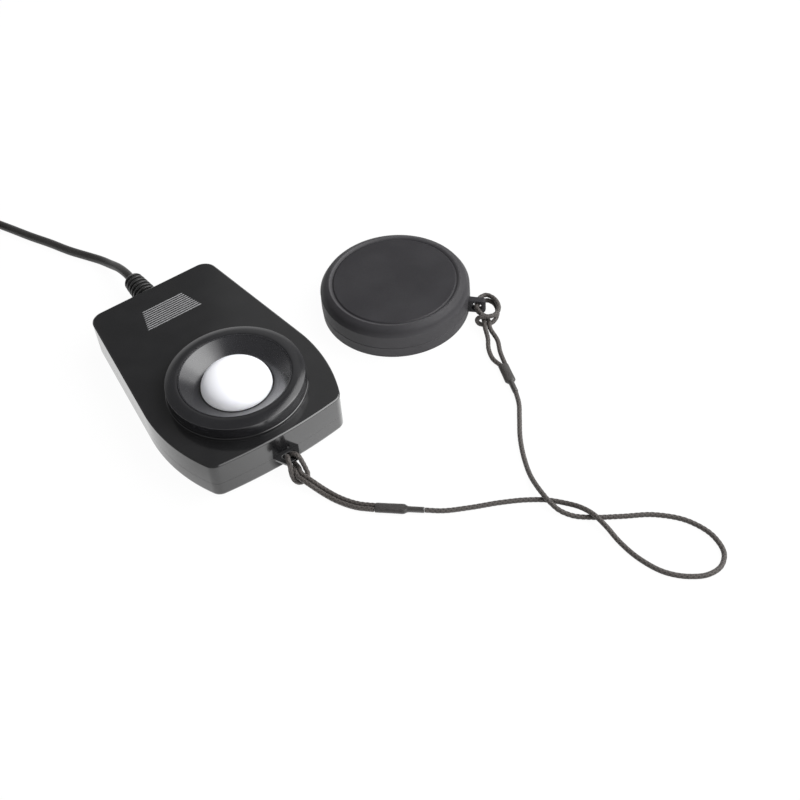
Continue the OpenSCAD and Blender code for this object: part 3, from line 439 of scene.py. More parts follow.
lead_start = [
    RELIEF_TIP, (0, 62.5, 6.9), (-0.2, 69.5, 5.6), (-1.1, 77, 3.2), (-2.6, 83, 2),
    (-4.7, 87.4, 1.7), (-9.1, 95.6, 1.6), (-13.1, 104.6, 1.6), (-17.2, 113, 1.6),
    (-21.2, 122, 1.6), (-25, 130, 1.8), (-27.6, 135, 2.1), (-28.2, 137.4, COIL_Z),
    (-28.2, 139.8, COIL_Z)]


def coil_points(per_turn):
    """The coil: layer k winds inwards where k is even and outwards where it is odd, by one
    pitch a turn. In the half turn between layers the radius swings past its end by an eighth
    of a pitch and back, and the height climbs one pitch."""
    total = 4 * COIL_TURNS + 1.5
    t = np.linspace(0, total, int(total * per_turn) + 1)
    layer = np.minimum(t // (COIL_TURNS + 0.5), 3)
    u = t - layer * (COIL_TURNS + 0.5)
    wound, climb = np.minimum(u / COIL_TURNS, 1), np.maximum(u - COIL_TURNS, 0)
    swing = COIL_PITCH * (climb - 2 * climb**2)
    inward = layer % 2 == 0
    change = COIL_PITCH * COIL_TURNS * wound + swing
    radius = np.where(inward, COIL_OUT - change, COIL_IN + change)
    angle = 2 * np.pi * t
    height = COIL_Z + COIL_PITCH * (layer + 2 * climb)
    flat = COIL_AT + radius[:, None] * np.column_stack([np.cos(angle), np.sin(angle)])
    return np.column_stack([flat, height])


turns = coil_points(24)
lead_end = np.vstack([
    turns[-1] + [[0, -LEAD_D, 0], [0, -LEAD_D - 5, 0]],
    [(-76.2, 128, 12.8), (-77.2, 121, 10.6), (-78.4, 114, 7.8), (-79.2, 108, 5.8)],
    [PLUG_AT + (0, 3, 0), PLUG_AT]])
lead_path = smooth_line(np.vstack([lead_start, turns, lead_end]), 1.5)
lead_piece = make_piece("lead_cable", [closed_skin(carried(lead_path, LEAD_D / 2, 16))])
dress(lead_piece, lead_pvc, ["lead", "lead_coil", "lead_tail"])
print("lead:", round(length_of(lead_path)), "mm")

# %% The plug and the coil's tie
PLUG_R, PLUG_TAIL, PLUG_L = 4.6, 10.0, 22.0
FLUTE_FROM, FLUTE_TO, FLUTES = 14, 29, 12
tail_s = np.linspace(0.0, PLUG_TAIL, 61)
tail_r = 2.3 + (PLUG_R * 0.8 - 2.3) * tail_s / PLUG_TAIL
rib_wave = np.clip(np.abs(np.sin(6 * np.pi * tail_s / PLUG_TAIL)) * 3 - 0.6, 0, 1)
tail_r = tail_r - 0.4 * (1 - rib_wave) * (tail_s > 0.6)
grip_profile = rounded([
    (PLUG_R * 0.8, PLUG_TAIL + 0.01, 0), (PLUG_R, PLUG_TAIL + 0.6, 0.5),
    (PLUG_R, PLUG_TAIL + PLUG_L - 0.02, 0.8), (2.4, PLUG_TAIL + PLUG_L - 0.02, 0)])
plug_profile = np.vstack([np.column_stack([tail_r, -tail_s]), grip_profile * (1, -1)])
plug_grid = turned(plug_profile, PLUG_AT, 96, "y")
from_tail = PLUG_AT[1] - plug_grid[..., 1]
grip_share = np.clip(np.minimum(from_tail - FLUTE_FROM, FLUTE_TO - from_tail) / 2, 0, 1)
around = np.arctan2(plug_grid[..., 2] - PLUG_AT[2], plug_grid[..., 0] - PLUG_AT[0])
flute = 1 - 0.05 * grip_share * (0.5 + 0.5 * np.cos(FLUTES * around))
plug_grid[..., 0] = PLUG_AT[0] + (plug_grid[..., 0] - PLUG_AT[0]) * flute
plug_grid[..., 2] = PLUG_AT[2] + (plug_grid[..., 2] - PLUG_AT[2]) * flute
plug_piece = make_piece("plug_body", [closed_skin(plug_grid)], sharp_deg=60)
dress(plug_piece, plug_pvc, ["plug_grip"])

TIE_T, TIE_W, TIE_BEND = 0.5, 6.0, 1.75
tie_near, tie_far, tie_top = 11.8875 - TIE_T / 2, 25.9625 + TIE_T / 2, 15.0 + TIE_T / 2
tie_line = rounded([
    (tie_near, TIE_T / 2, TIE_BEND), (tie_far, TIE_T / 2, TIE_BEND), (tie_far, tie_top, TIE_BEND),
    (tie_near, tie_top, TIE_BEND)], steps=12, closed=True)
out = unit(np.roll(tie_line, -1, 0) - np.roll(tie_line, 1, 0))[:, ::-1] * (1, -1)
band = rounded([
    (-TIE_W / 2, -TIE_T / 2, 0.2), (TIE_W / 2, -TIE_T / 2, 0.2), (TIE_W / 2, TIE_T / 2, 0.2),
    (-TIE_W / 2, TIE_T / 2, 0.2)], steps=4, closed=True)
tie_yz = tie_line[:, None] + band[None, :, 1:] * out[:, None]
tie_x = np.broadcast_to(band[None, :, :1], (*tie_yz.shape[:2], 1))
tie_grid = np.concatenate([tie_x, tie_yz], -1) + (COIL_AT[0], COIL_AT[1], 0)
tie_piece = make_piece("coil_strap", [closed_skin(tie_grid, ring=True)])
dress(tie_piece, tie_weave, ["coil_tie"])

# %% [markdown]
# ## The tether
# A thin braided cord keeps the cap on the head. At both ends it is doubled back into a loop,
# hitched round the housing's tab and through the cap's fin, and a shrunk sleeve holds the two
# strands. The braid is in the surface itself: two sets of threads wind round the cord in
# opposite directions, and the higher of the two waves decides how far the surface stands out.

# %% Braided cord
CORD_D, CORD_STEP = 1.62, 0.14
THREADS, LAY_MM, THREAD_RISE = 4, 1.6, 0.1


def braid(path, sides):
    """Skin and thread heights of a braided cord: the larger of two waves that run round and
    along the cord in opposite directions, added to the radius."""
    along = np.linspace(0, length_of(path), len(path))[:, None] * 2 * np.pi / LAY_MM
    round_it = full_turn(sides)[None] * THREADS
    height = np.maximum(np.cos(round_it + along), np.cos(round_it - along)) * 0.5 + 0.5
    core = CORD_D / 2 - THREAD_RISE
    grid = carried(path, core, sides, (1.0, 0.0, 0.0), ripple=THREAD_RISE * height)
    return closed_skin(grid), np.append(height.ravel(), [0.5, 0.5])


def cord_piece(name, path, slot_node):
    """One braided cord along a path, dressed but not yet riding on a body."""
    # The thread heights also set the colour: a painted highlight where the threads stand highest,
    # painted shade in the gaps
    skin, weave = braid(path, 20)
    piece = make_piece(name, [skin], sharp_deg=80, weave=weave)
    return dress(piece, nylon_braid, [slot_node], body=None)


def beside(line, side, gap=0.8):
    """A strand to one side of a middle line: each point moved level, square to the line."""
    line = np.asarray(line, float)
    ahead = np.vstack([line[1:], line[-1:]]) - np.vstack([line[:1], line[:-1]])
    square = np.column_stack([ahead[:, 1], -ahead[:, 0], np.zeros(len(line))])
    return line + side * gap * unit(square)


# %% Loop round the housing's tab
TAB_X = 0.6
BAR = np.array([TAB_X, -47.4, 5.1])
leg = np.array([
    (0.82, -1.7, -2.1), (0.84, 0.4, -2.1), (0.84, 1.55, -1.5), (0.84, 1.95, 0), (0.9, 1.6, 1.5),
    (1.2, 0.6, 2.15), (1.7, -0.5, 2.15), (1.95, -1.5, 1.5), (2.15, -2, 0.2), (2.4, -2.5, -1.3),
    (2.5, -3.2, -2.7), (2.35, -4.3, -3.8), (1.5, -5.4, -4.3), (0, -5.8, -4.3)])
legs = np.vstack([leg, (leg * (-1, 1, 1))[::-1][1:]]) + BAR
legs[:, 2] = np.maximum(legs[:, 2], CORD_D / 2 + 0.05)
strands = [
    (0.1, -51.6, 2.8), (0.7, -54.2, 2.6), (1.6, -57, 2.1), (2.8, -60, 1.2), (5.2, -66.4, 0.8),
    (8.2, -71.6, 0.8), (11.88, -75.79, 1.1)]
tab_route = np.vstack([beside(strands, -1)[::-1], legs, beside(strands, 1)])
tab_path = smooth_line(tab_route, CORD_STEP)
tab_loop = cord_piece("tab_loop_cord", tab_path, "housing_loop")
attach(tab_loop, "housing")
print("tab loop:", round(length_of(tab_path), 1), "mm")

# %% Single cord across the table
LIE = 0.76
run_route = [
    (23.48, -86.08, 1), (27.2, -89.2, 0.8), (35.1, -93.8, LIE), (43.5, -98, LIE),
    (50.6, -102.3, LIE), (55.2, -106, LIE), (58.8, -110.6, 1), (60.8, -115, 1.9),
    (61.8, -119.6, 2.45), (62.1, -125, 1.9), (62, -131, LIE), (62.5, -140, LIE),
    (65, -147.6, LIE), (69.6, -153, LIE), (74.2, -155.7, LIE), (79, -155.9, LIE),
    (82.8, -153.5, LIE), (85, -147.5, LIE), (83.4, -138.8, LIE), (77.2, -130.6, LIE),
    (68.6, -124.6, LIE), (61.5, -119.4, LIE), (57.6, -115.6, LIE), (55.4, -111.6, 1.3),
    (54.7, -107.6, 2.3), (55, -104, 2.45), (55.9, -100, 1.9), (57.6, -95.2, LIE),
    (60.2, -89.4, LIE), (65, -81.4, LIE), (70, -75, LIE), (74, -69.8, 0.85), (76.22, -65.5, 1)]
run_path = smooth_line(run_route, CORD_STEP)
tether_run = cord_piece("tether_cord", run_path, "tether_run")
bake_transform(tether_run)
print("single cord:", round(length_of(run_path), 1), "mm")

# %% Loop through the cap's fin
CAP_AT = np.array([70.6, -5.5, 0.0])
FIN_ANGLE = np.radians(-47.3)
fin_cos, fin_sin = np.cos(FIN_ANGLE), np.sin(FIN_ANGLE)
FIN_TURN = np.array([[fin_cos, -fin_sin, 0], [fin_sin, fin_cos, 0], [0, 0, 1]])
SLEEVE_B = np.array([(80.6, -53.4, 1.15), (76.25, -65.4, 1)])
hitch = np.array([
    (33.4, -9.5, 2.6), (32.5, -6.6, 3.35), (30.9, -4.2, 4.3), (29.5, -2.6, 4.65), (29.1, 0, 4.65),
    (29.7, 2.8, 4.65), (31.6, 4.4, 4.7), (34.1, 3.4, 4.8), (36.2, 0.8, 4.9), (37.1, -2.6, 5),
    (35.9, -5.6, 5), (33.4, -6.8, 5.1), (31.2, -7.1, 4.8), (30.3, -7, 3.4), (30.5, -6.9, 2),
    (31.6, -6.7, 1.05), (33.6, -6.2, 0.85), (35.6, -4.6, 0.95), (36.5, -2, 1.6), (36.2, 0.2, 2.5),
    (34.4, 2.6, 3.05), (31.9, 3.5, 3), (29.9, 2.4, 2.95), (29.1, 0, 2.95), (30.1, -2.7, 2.9),
    (32.7, -4.2, 2.7), (34.3, -6.4, 2.6), (35, -9, 2.4)]) @ FIN_TURN.T + CAP_AT
cap_route = np.vstack([
    SLEEVE_B[0] + (-0.71, 0.37, 0), (79.9, -48.9, 0.9), (81.6, -44.4, 1.1), (84.4, -40.4, 1.6),
    hitch, (86.2, -43.6, 1.5), (84, -47.6, 1), SLEEVE_B[0] + (0.8, -0.18, 0)])
cap_path = smooth_line(cap_route, CORD_STEP)
cap_loop = cord_piece("cap_loop_cord", cap_path, "cap_loop")
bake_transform(cap_loop)
print("cap loop:", round(length_of(cap_path), 1), "mm")

# %% [markdown]
# The shrunk sleeves are ovals that tighten in one short step from the doubled strands to the
# single cord. Their upper side dips between the strands, as tube does when it shrinks.

# %% Shrunk sleeves
SLEEVE_A = np.array([(12, -75.9, 1.15), (23.4, -86, 1)])


def sleeve_skin(ends):
    """An oval whose half width and half height follow stations along the sleeve, joined by
    straight ramps, with a groove where the cosine of the angle is highest or lowest."""
    share = np.r_[
        0.0, 0.015, np.linspace(0.04, 0.55, 20), np.linspace(0.56, 0.72, 18),
        np.linspace(0.75, 0.985, 10), 1.0]
    wide = np.interp(share, [0, 0.015, 0.03, 0.3, 0.56, 0.6, 0.66, 0.7, 0.985, 1],
                     [1.62, 1.76, 1.8, 1.8, 1.86, 1.78, 1.08, 0.97, 0.95, 0.85])
    high = np.interp(share, [0, 0.015, 0.03, 0.56, 0.61, 0.68, 0.985, 1],
                     [0.95, 1.02, 1.05, 1.05, 1.02, 0.95, 0.95, 0.85])
    path = ends[0] + share[:, None] * (ends[1] - ends[0])
    angle = full_turn(40)
    dip = 1 - 0.1 * np.clip((wide[:, None] - 1) / 0.8, 0, 1) * np.abs(np.cos(angle)) ** 6
    along = unit(ends[1] - ends[0])
    side = unit(np.cross(along, (0, 0, 1.0)))
    up = np.cross(side, along)
    grid = path[:, None] + (high[:, None] * np.cos(angle) * dip)[..., None] * up
    return closed_skin(grid + (wide[:, None] * np.sin(angle))[..., None] * side)


tab_sleeve = make_piece("tab_end_sleeve", [sleeve_skin(SLEEVE_A)], sharp_deg=60)
dress(tab_sleeve, shrink_tube, ["housing_sleeve"])
cap_sleeve = make_piece("cap_end_sleeve", [sleeve_skin(SLEEVE_B)], sharp_deg=60)
dress(cap_sleeve, shrink_tube, ["cap_sleeve"], body="tether_end")

# %% [markdown]
# ## The housing's plan
# Seen from above, the housing is a shield of six tangent curves: a slightly bowed front, two
# front corners, two arched sides that run straight to the back, and two back corners. Each
# point carries its outward normal, so the same list serves for the outer wall, the inner wall
# and every rounding: a plan set in by some amount is the points minus that much of the normal.

# %% The plan
LENGTH, WIDTH, BACK_W, WIDEST_Y = 87.0, 60.0, 47.0, -15.0
SIDE_R, FRONT_R, BACK_R, CORNER_R = 60.0, 165.0, 5.0, 4.0
FRONT_Y, BACK_Y = -LENGTH / 2, LENGTH / 2
side_c, front_c = np.array([WIDTH / 2 - SIDE_R, WIDEST_Y]), np.array([0.0, FRONT_Y + FRONT_R])
reach = np.array([BACK_W / 2, BACK_Y]) - side_c
side_end = np.arctan2(reach[1], reach[0]) - np.arccos(SIDE_R / np.hypot(*reach))
apart = np.hypot(*(front_c - side_c))
along_line = (front_c - side_c) / apart
along = ((SIDE_R - CORNER_R) ** 2 - (FRONT_R - CORNER_R) ** 2 + apart**2) / (2 * apart)
across = np.sqrt((SIDE_R - CORNER_R) ** 2 - along**2)
corner_c = side_c + along * along_line + across * along_line[::-1] * (1, -1)
corner_side, corner_front = (np.arctan2(*(corner_c - c)[::-1]) for c in (side_c, front_c))
back_y = BACK_Y - BACK_R
back_x = (SIDE_R - BACK_R - (back_y - side_c[1]) * np.sin(side_end)) / np.cos(side_end)
back_c = np.array([side_c[0] + back_x, back_y])


def spoke(angle):
    """Unit vector at an angle."""
    return np.column_stack([np.cos(angle), np.sin(angle)])


def arc_part(centre, radius, start, stop, count):
    """Points on an arc, without its last, and their outward normals."""
    out = spoke(np.linspace(start, stop, count, endpoint=False))
    return np.hstack([centre + radius * out, out])


def straight_part(start, stop, normal, count):
    """Points on a straight, without its last, and their outward normals."""
    t = np.linspace(0, 1, count, endpoint=False)[:, None]
    return np.hstack([start + t * (stop - start), np.broadcast_to(normal, (count, 2))])


side_out = spoke(np.array([side_end]))[0]
half_plan = np.vstack([
    arc_part(front_c, FRONT_R, -np.pi / 2, corner_front, 22),
    arc_part(corner_c, CORNER_R, corner_front, corner_side, 16),
    arc_part(side_c, SIDE_R, corner_side, side_end, 36),
    straight_part(side_c + SIDE_R * side_out, back_c + BACK_R * side_out, side_out, 26),
    arc_part(back_c, BACK_R, side_end, np.pi / 2, 18),
    straight_part(back_c + (0, BACK_R), np.array([0, BACK_Y]), (0.0, 1.0), 14),
    [[0, BACK_Y, 0, 1]]])
whole_plan = np.vstack([half_plan, (half_plan * (-1, 1, -1, 1))[::-1][1:-1]])
plan_points, plan_normals = whole_plan[:, :2], whole_plan[:, 2:]
print("plan:", len(plan_points), "points, width", round(np.ptp(plan_points[:, 0]), 2))

# %% [markdown]
# ## The two shells
# The upper shell is one closed ring of a surface: up the outer wall, over the rounded edge,
# across the top to the raised ring under the collar, through its hole, and back along the
# inside. The lower shell is a tray. Both walls meet at a fine parting line. The four
# counterbores for the case screws are cut with a Boolean, because holes don't follow the rows.

# %% The upper shell
HOUSING_H, PARTING_Z, WALL = 14.4, 6.2, 2.0
INSIDE_Z = HOUSING_H - WALL
SENSOR = np.array([0.0, -17.0])
PLINTH_FOOT, PLINTH_R, PLINTH_Z, BORE_R = 23.25, 23.15, 15.45, 20.55
bearing = unit(plan_points - SENSOR)


def at_heights(flat, heights):
    """Rows of flat points, each row lifted to its own height."""
    lifted = np.broadcast_to(heights[:, None, None], (*flat.shape[:2], 1))
    return np.concatenate([flat, lifted], -1)


def along_plan(profile):
    """Grid with one row for each (inset, height): the plan set in by that much, at that height."""
    inset, height = np.asarray(profile, float).T
    return at_heights(plan_points - inset[:, None, None] * plan_normals, height)


def round_sensor(profile):
    """Grid with one row for each (radius, height): a circle about the sensor, each point at
    the bearing of the plan point in its column."""
    radius, height = np.asarray(profile, float).T
    return at_heights(SENSOR + radius[:, None, None] * bearing, height)


# The narrow facet on the top edge mirrors the middle of the large softbox as a pale line
outer_wall = rounded([
    (1.2, PARTING_Z, 0), (0, PARTING_Z, 0.06), (0, HOUSING_H - 0.4, 0.1),
    (0.06, HOUSING_H - 0.29, 0.05), (0.48, HOUSING_H, 0.08), (1.6, HOUSING_H, 0)], steps=7)
plinth = rounded([
    (PLINTH_FOOT + 0.6, HOUSING_H, 0), (PLINTH_FOOT, HOUSING_H, 0.02),
    (PLINTH_R, PLINTH_Z - 0.13, 0.04), (PLINTH_R - 0.2, PLINTH_Z, 0.04), (BORE_R, PLINTH_Z, 0.15),
    (BORE_R, INSIDE_Z, 0.1), (BORE_R + 0.8, INSIDE_Z, 0)], steps=5)
inner_wall = rounded([
    (WALL + 0.8, INSIDE_Z, 0), (WALL, INSIDE_Z, 0.3), (WALL, PARTING_Z, 0.1),
    (WALL - 0.3, PARTING_Z, 0)], steps=4)
upper_grid = np.concatenate([along_plan(outer_wall), round_sensor(plinth), along_plan(inner_wall)])
upper_shell = make_piece("upper_shell", [closed_skin(upper_grid, ring=True)])
dress(upper_shell, satin_abs, ["top_shell"])

# %% The lower shell, its screw holes and its tab
TAB_Z, TAB_TIP_Y, SLOT_Y, SLOT_HALF, SLOT_DEEP = (4.0, PARTING_Z), -48.2, -45.45, 2.4, 1.15
SCREW_SPOTS = [(19.5, -35.5), (-19.5, -35.5), (15.0, 29.5), (-15.0, 29.5)]
TRAY_Z = PARTING_Z - 0.02
tray = rounded([
    (3.6, WALL, 0), (WALL, WALL, 0.4), (WALL, TRAY_Z, 0.1), (0, TRAY_Z, 0.06), (0, 0, 1.6),
    (3.6, 0, 0)], steps=9)
lower_skin = closed_skin(along_plan(tray))


def reach_of(outline, centre, angle):
    """Distance from a centre to an outline in each direction, read between its points."""
    arm = outline - centre
    at = np.arctan2(arm[:, 1], arm[:, 0])
    order = np.argsort(at)
    return np.interp(angle, at[order], np.hypot(*arm.T)[order], period=2 * np.pi)


def dense(line):
    """A closed line with twenty points on each of its stretches."""
    t = np.linspace(0, 1, 20, endpoint=False)[None, :, None]
    return (line[:, None] + t * (np.roll(line, -1, 0) - line)[:, None]).reshape(-1, 2)


tab_outline = dense(rounded([
    (-5.2, FRONT_Y + 1, 0.05), (-2.5, TAB_TIP_Y, 0.9), (2.5, TAB_TIP_Y, 0.9),
    (5.2, FRONT_Y + 1, 0.05)], closed=True))
slot_outline = dense(rounded([
    (-SLOT_HALF, SLOT_Y - SLOT_DEEP, 1.1), (SLOT_HALF, SLOT_Y - SLOT_DEEP, 1.1),
    (SLOT_HALF, SLOT_Y + SLOT_DEEP, 1.1), (-SLOT_HALF, SLOT_Y + SLOT_DEEP, 1.1)], closed=True))
turn_by = full_turn(120)
slot_at = np.array([0.0, SLOT_Y])
slot_reach, tab_reach = (reach_of(o, slot_at, turn_by) for o in (slot_outline, tab_outline))
tab_section = rounded([
    (0, TAB_Z[0], 0.2), (1, TAB_Z[1] - 0.9, 0.12), (1, TAB_Z[1], 0.12), (0, TAB_Z[1], 0.2)],
    steps=4, closed=True)
from_slot = np.where(tab_section[:, 0] < 0.5, tab_section[:, 0], tab_section[:, 0] - 1)
tab_r = np.where(tab_section[:, :1] < 0.5, slot_reach, tab_reach) + from_slot[:, None]
tab_grid = np.stack([
    TAB_X + tab_r * np.cos(turn_by), SLOT_Y + tab_r * np.sin(turn_by),
    np.broadcast_to(tab_section[:, 1:], tab_r.shape)], -1)
lower_shell = make_piece("lower_shell", [lower_skin])
cutter = make_piece("screw_cutter", [
    closed_skin(turned([(2.45, -1.0), (2.45, WALL + 1.0)], (x, y, 0), 48)) for x, y in SCREW_SPOTS])
cut = lower_shell.modifiers.new("counterbores", "BOOLEAN")
cut.operation, cut.object, cut.solver = "DIFFERENCE", cutter, "EXACT"
cut_shell = lower_shell.evaluated_get(bpy.context.evaluated_depsgraph_get())
bored = bpy.data.meshes.new_from_object(cut_shell)
lower_shell.modifiers.clear()
lower_shell.data = bored
bpy.data.objects.remove(cutter)
bored.shade_smooth()
bored.set_sharp_from_angle(angle=np.radians(40))
dress(lower_shell, satin_abs, ["bottom_shell"])
tab_piece = make_piece("tether_tab", [closed_skin(tab_grid, ring=True)])
tab_piece.data.materials.append(satin_abs)
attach(tab_piece, "housing")

# %% [markdown]
# ## The thumb grip
# Ten low ribs near the back edge stop a thumb from slipping. Each rib rises in a slope towards
# the back and falls steeply behind its crest, so the slopes catch the light from the front,
# and a flat valley lies between. The patch is a trapezium: a share from minus one to one runs
# across it, and the half width at each rib stretches that share to millimetres.

# %% The ribs
GRIP_BACK, GRIP_FRONT, RIBS, RIB_PITCH, LAST_RIB_Y = (33.85, 7.85), (24.6, 10.5), 10, 0.985, 33.65
rib_shape = np.array([
    (-0.45, 0), (-0.24, 0), (-0.2, 0.02), (0.0, 0.16), (0.06, 0.2), (0.12, 0.22), (0.18, 0.2),
    (0.22, 0.1), (0.25, 0), (0.45, 0)])
rib_y = LAST_RIB_Y - RIB_PITCH * np.arange(RIBS)[::-1, None] + rib_shape[None, :, 0]
top_y = rib_y.ravel()
rise = np.tile(rib_shape[:, 1], RIBS)
section_y = np.r_[top_y[0], top_y, top_y[-1]]
half_w = np.interp(section_y, [GRIP_FRONT[0], GRIP_BACK[0]], [GRIP_FRONT[1], GRIP_BACK[1]])
end_share = np.array([0.95, 0.965, 0.98, 0.99, 0.999, 1])
share = np.r_[-end_share[::-1], np.linspace(-0.92, 0.92, 9), end_share]
end_fade = np.sqrt(np.clip(1 - (np.clip(np.abs(share) - 0.95, 0, None) / 0.05) ** 2, 0, 1))
grip_z = np.full((len(share), len(section_y)), HOUSING_H - 0.04)
grip_z[:, 1:-1] += rise * end_fade[:, None]
grip_z[:, [0, -1]] = HOUSING_H - 0.85
grip_y = np.broadcast_to(section_y, grip_z.shape)
grip_grid = np.stack([share[:, None] * half_w, grip_y, grip_z], -1)
# Painted highlight: each rib is paler in proportion to its height, and the valleys are painted
# darker
crest = np.zeros(grip_z.shape)
crest[:, 1:-1] = rise / rise.max() * end_fade[:, None]
grip_piece = make_piece(
    "grip_ribs", [closed_skin(grip_grid)], sharp_deg=50, crest=np.append(crest.ravel(), [0, 0]))
dress(grip_piece, grip_abs, ["thumb_grip"])

# %% [markdown]
# ## The sensor
# The collar is a turned shape with a softly bowed shoulder. The dish sits in it as a thin cone
# with a narrow lip, and the opal dome rises from its middle. A sharp undercut at the dome's foot
# draws the dark line round it. On the real head the dome is what makes the reading follow the
# cosine of the light's angle, so it must be pure white and round.

# %% Collar, dish and dome
COLLAR_R, RIM_Z, CREST_Z, DISH_BORE = 22.7, 19.5, 20.2, 18.52
SPIGOT_R, SPIGOT_Z, SEAT_Z, SEAT_BORE, BOW = 20.4, 12.9, 14.1, 10.4, 1.7
SENSOR_AT = (*SENSOR, 0)
t = np.linspace(0, 1, 26)[1:-1]
fall = t + BOW * t * (t - 1)
shoulder = np.column_stack([
    DISH_BORE + t * (COLLAR_R - 0.02 - DISH_BORE), CREST_Z + fall * (RIM_Z - CREST_Z)])
outer = rounded([
    (SPIGOT_R, PLINTH_Z, 0), (COLLAR_R, PLINTH_Z + 0.02, 0.1), (COLLAR_R, RIM_Z, 0.22),
    (*shoulder[-1], 0)])[1:-1]
inner = rounded([
    (*shoulder[0], 0), (DISH_BORE, CREST_Z, 0.06), (DISH_BORE, SEAT_Z, 0.1),
    (SEAT_BORE, SEAT_Z, 0.1), (SEAT_BORE, SPIGOT_Z, 0.1), (SPIGOT_R, SPIGOT_Z, 0.2),
    (SPIGOT_R, PLINTH_Z, 0.05), (20.6, PLINTH_Z, 0)], beside=0.03)[1:-1]
collar_profile = np.vstack([outer, shoulder[::-1], inner])
collar = make_piece("sensor_ring", [closed_skin(turned(collar_profile, SENSOR_AT), ring=True)])
dress(collar, collar_abs, ["sensor_collar"])

dish_profile = rounded([
    (10.97, 15.1, 0.03), (12.6, 15.1, 0.05), (12.6, 15.4, 0.05), (18.4, 15.4, 0.1),
    (18.4, CREST_Z + 0.05, 0.08), (18.12, CREST_Z + 0.05, 0.08), (18.06, CREST_Z - 0.2, 0.03),
    (17.93, CREST_Z - 0.14, 0.02), (12.25, 15.72, 0.03), (12.25, 15.3, 0.03), (10.97, 15.3, 0.03)],
    closed=True, beside=0.01)
dish = make_piece("cone_dish", [closed_skin(turned(dish_profile, SENSOR_AT), ring=True)])
dress(dish, dish_abs, ["sensor_dish"])

DOME_R, DOME_Z, DOME_H, DOME_WALL = 11.62, 15.62, 7.0, 3.0
lift = np.linspace(np.pi / 2, 0, 34)[1:]
dome_out, dome_in = (
    np.column_stack([(DOME_R - less) * np.cos(lift), DOME_Z + (DOME_H - less) * np.sin(lift)])
    for less in (0, DOME_WALL))
flange = rounded([
    (DOME_R, 15.58, 0), (DOME_R - 0.04, 15.52, 0.02), (10.9, 15.48, 0.05), (10.9, 14.95, 0.05),
    (13.9, 14.95, 0.08), (13.9, 14.7, 0.08), (10.4, 14.7, 0.1), (10.4, 15.3, 0)], beside=0.02)
dome_profile = np.vstack([dome_out, flange, dome_in[::-1]])
dome = make_piece("opal_dome", [closed_skin(turned(dome_profile, SENSOR_AT, 128))])
dress(dome, opal_acrylic, ["diffuser_dome"])

# %% [markdown]
# ## The strain relief and the wires
# The relief is moulded round the lead: a cone with seven grooves that let it bend evenly, and a
# rounded nose. Its radius is a straight taper minus a smooth dip at each groove.

# %% Strain relief and inner wires
RELIEF_L, RELIEF_R, RELIEF_TIP_R, NOSE_L, NOSE_DROP = 16.0, 4.75, 3.55, 1.7, 1.4
GROOVES, GROOVE_DEEP, GROOVE_HALF = 7, 1.0, 0.5
s = np.linspace(0, RELIEF_L - 0.01, 240)
pitch = RELIEF_L / (GROOVES + 1)
near_groove = np.abs(s[:, None] - pitch * np.arange(1, GROOVES + 1)).min(1)
relief_r = RELIEF_R + (RELIEF_TIP_R - RELIEF_R) * s / RELIEF_L
relief_r = relief_r - GROOVE_DEEP * np.exp(-((near_groove / GROOVE_HALF) ** 4))
nose = np.clip((s - (RELIEF_L - NOSE_L)) / NOSE_L, 0, 1)
relief_r = relief_r - NOSE_DROP * (1 - np.sqrt(1 - nose**2))
relief_line = np.vstack([[(RELIEF_R, -0.8)], np.column_stack([relief_r, s])])
relief_grid = turned(relief_line, (0, BACK_Y, RELIEF_TIP[2]), 96, "y")
relief = make_piece("relief_boot", [closed_skin(relief_grid)], sharp_deg=60)
dress(relief, relief_pvc, ["strain_relief"])

WIRE_START = BACK_Y - WALL - 1.8
wire_run = WIRE_START + 5.0
wire_ends = np.array([
    (1, 0, 6.9), (1, 0.08, 6.9), (3, 0.32, 6.9), (5, 0.64, 6.8), (5, 0.86, 6.7), (5, 1, 6.7)])
wire = wire_ends * (1, -wire_run, 1) + (0, WIRE_START, 0)
wires = make_piece("sensor_wires", [
    closed_skin(carried(smooth_line(wire * (side, 1, 1), 0.8), 0.5, 12)) for side in (-1, 1)])
dress(wires, wire_pvc, ["inner_wires"])

# %% [markdown]
# ## The dust cap
# The cap is a shallow cup of soft vinyl with a sunk top, a groove round it, a bulged shoulder
# and a fine line round its wall. A painted highlight makes the crest beside the groove paler, and
# painted light makes the outer wall a little paler; each point of the profile carries this as a
# value. A fin with an eye stands out at the bottom for the tether. The fin is a plate between two
# outlines, its rounded rim and its eye, seen from the eye's middle.

# %% The cap and its fin
CUP_SIDES, CUP_CREST_R, CUP_SHOULDER_R, CUP_WALL_Z = 192, 22.8, 23.4, 9.3
cup = rounded([
    (3.0, 11.95, 0), (21.3, 11.95, 0.15), (21.8, 11.6, 0.15), (22.75, 12.2, 0.15),
    (23.1, 12.25, 0.12), (24.95, 11.3, 3.0), (26.25, 9.2, 0.12), (26.35, 4.5, 0.05),
    (26.2, 4.35, 0.04), (26.35, 4.2, 0.05), (26.15, 0, 0.25), (23.6, 0, 0.1), (23.1, 0.5, 0.2),
    (23.1, 9.9, 0.4), (3.0, 9.9, 0)], steps=9, beside=0.03)
cup_skin = closed_skin(turned(cup, CAP_AT, CUP_SIDES))
# Painted highlight on the crest beside the groove, and painted light on the outer wall, stronger
# below the fine line than on the shoulder
rub = np.exp(-(((cup[:, 0] - CUP_CREST_R) / 0.3) ** 2)) * (cup[:, 1] > 11.9) * 0.6
rub += np.where(cup[:, 1] < CUP_WALL_Z, 0.28, 0.08) * (cup[:, 0] > CUP_SHOULDER_R)

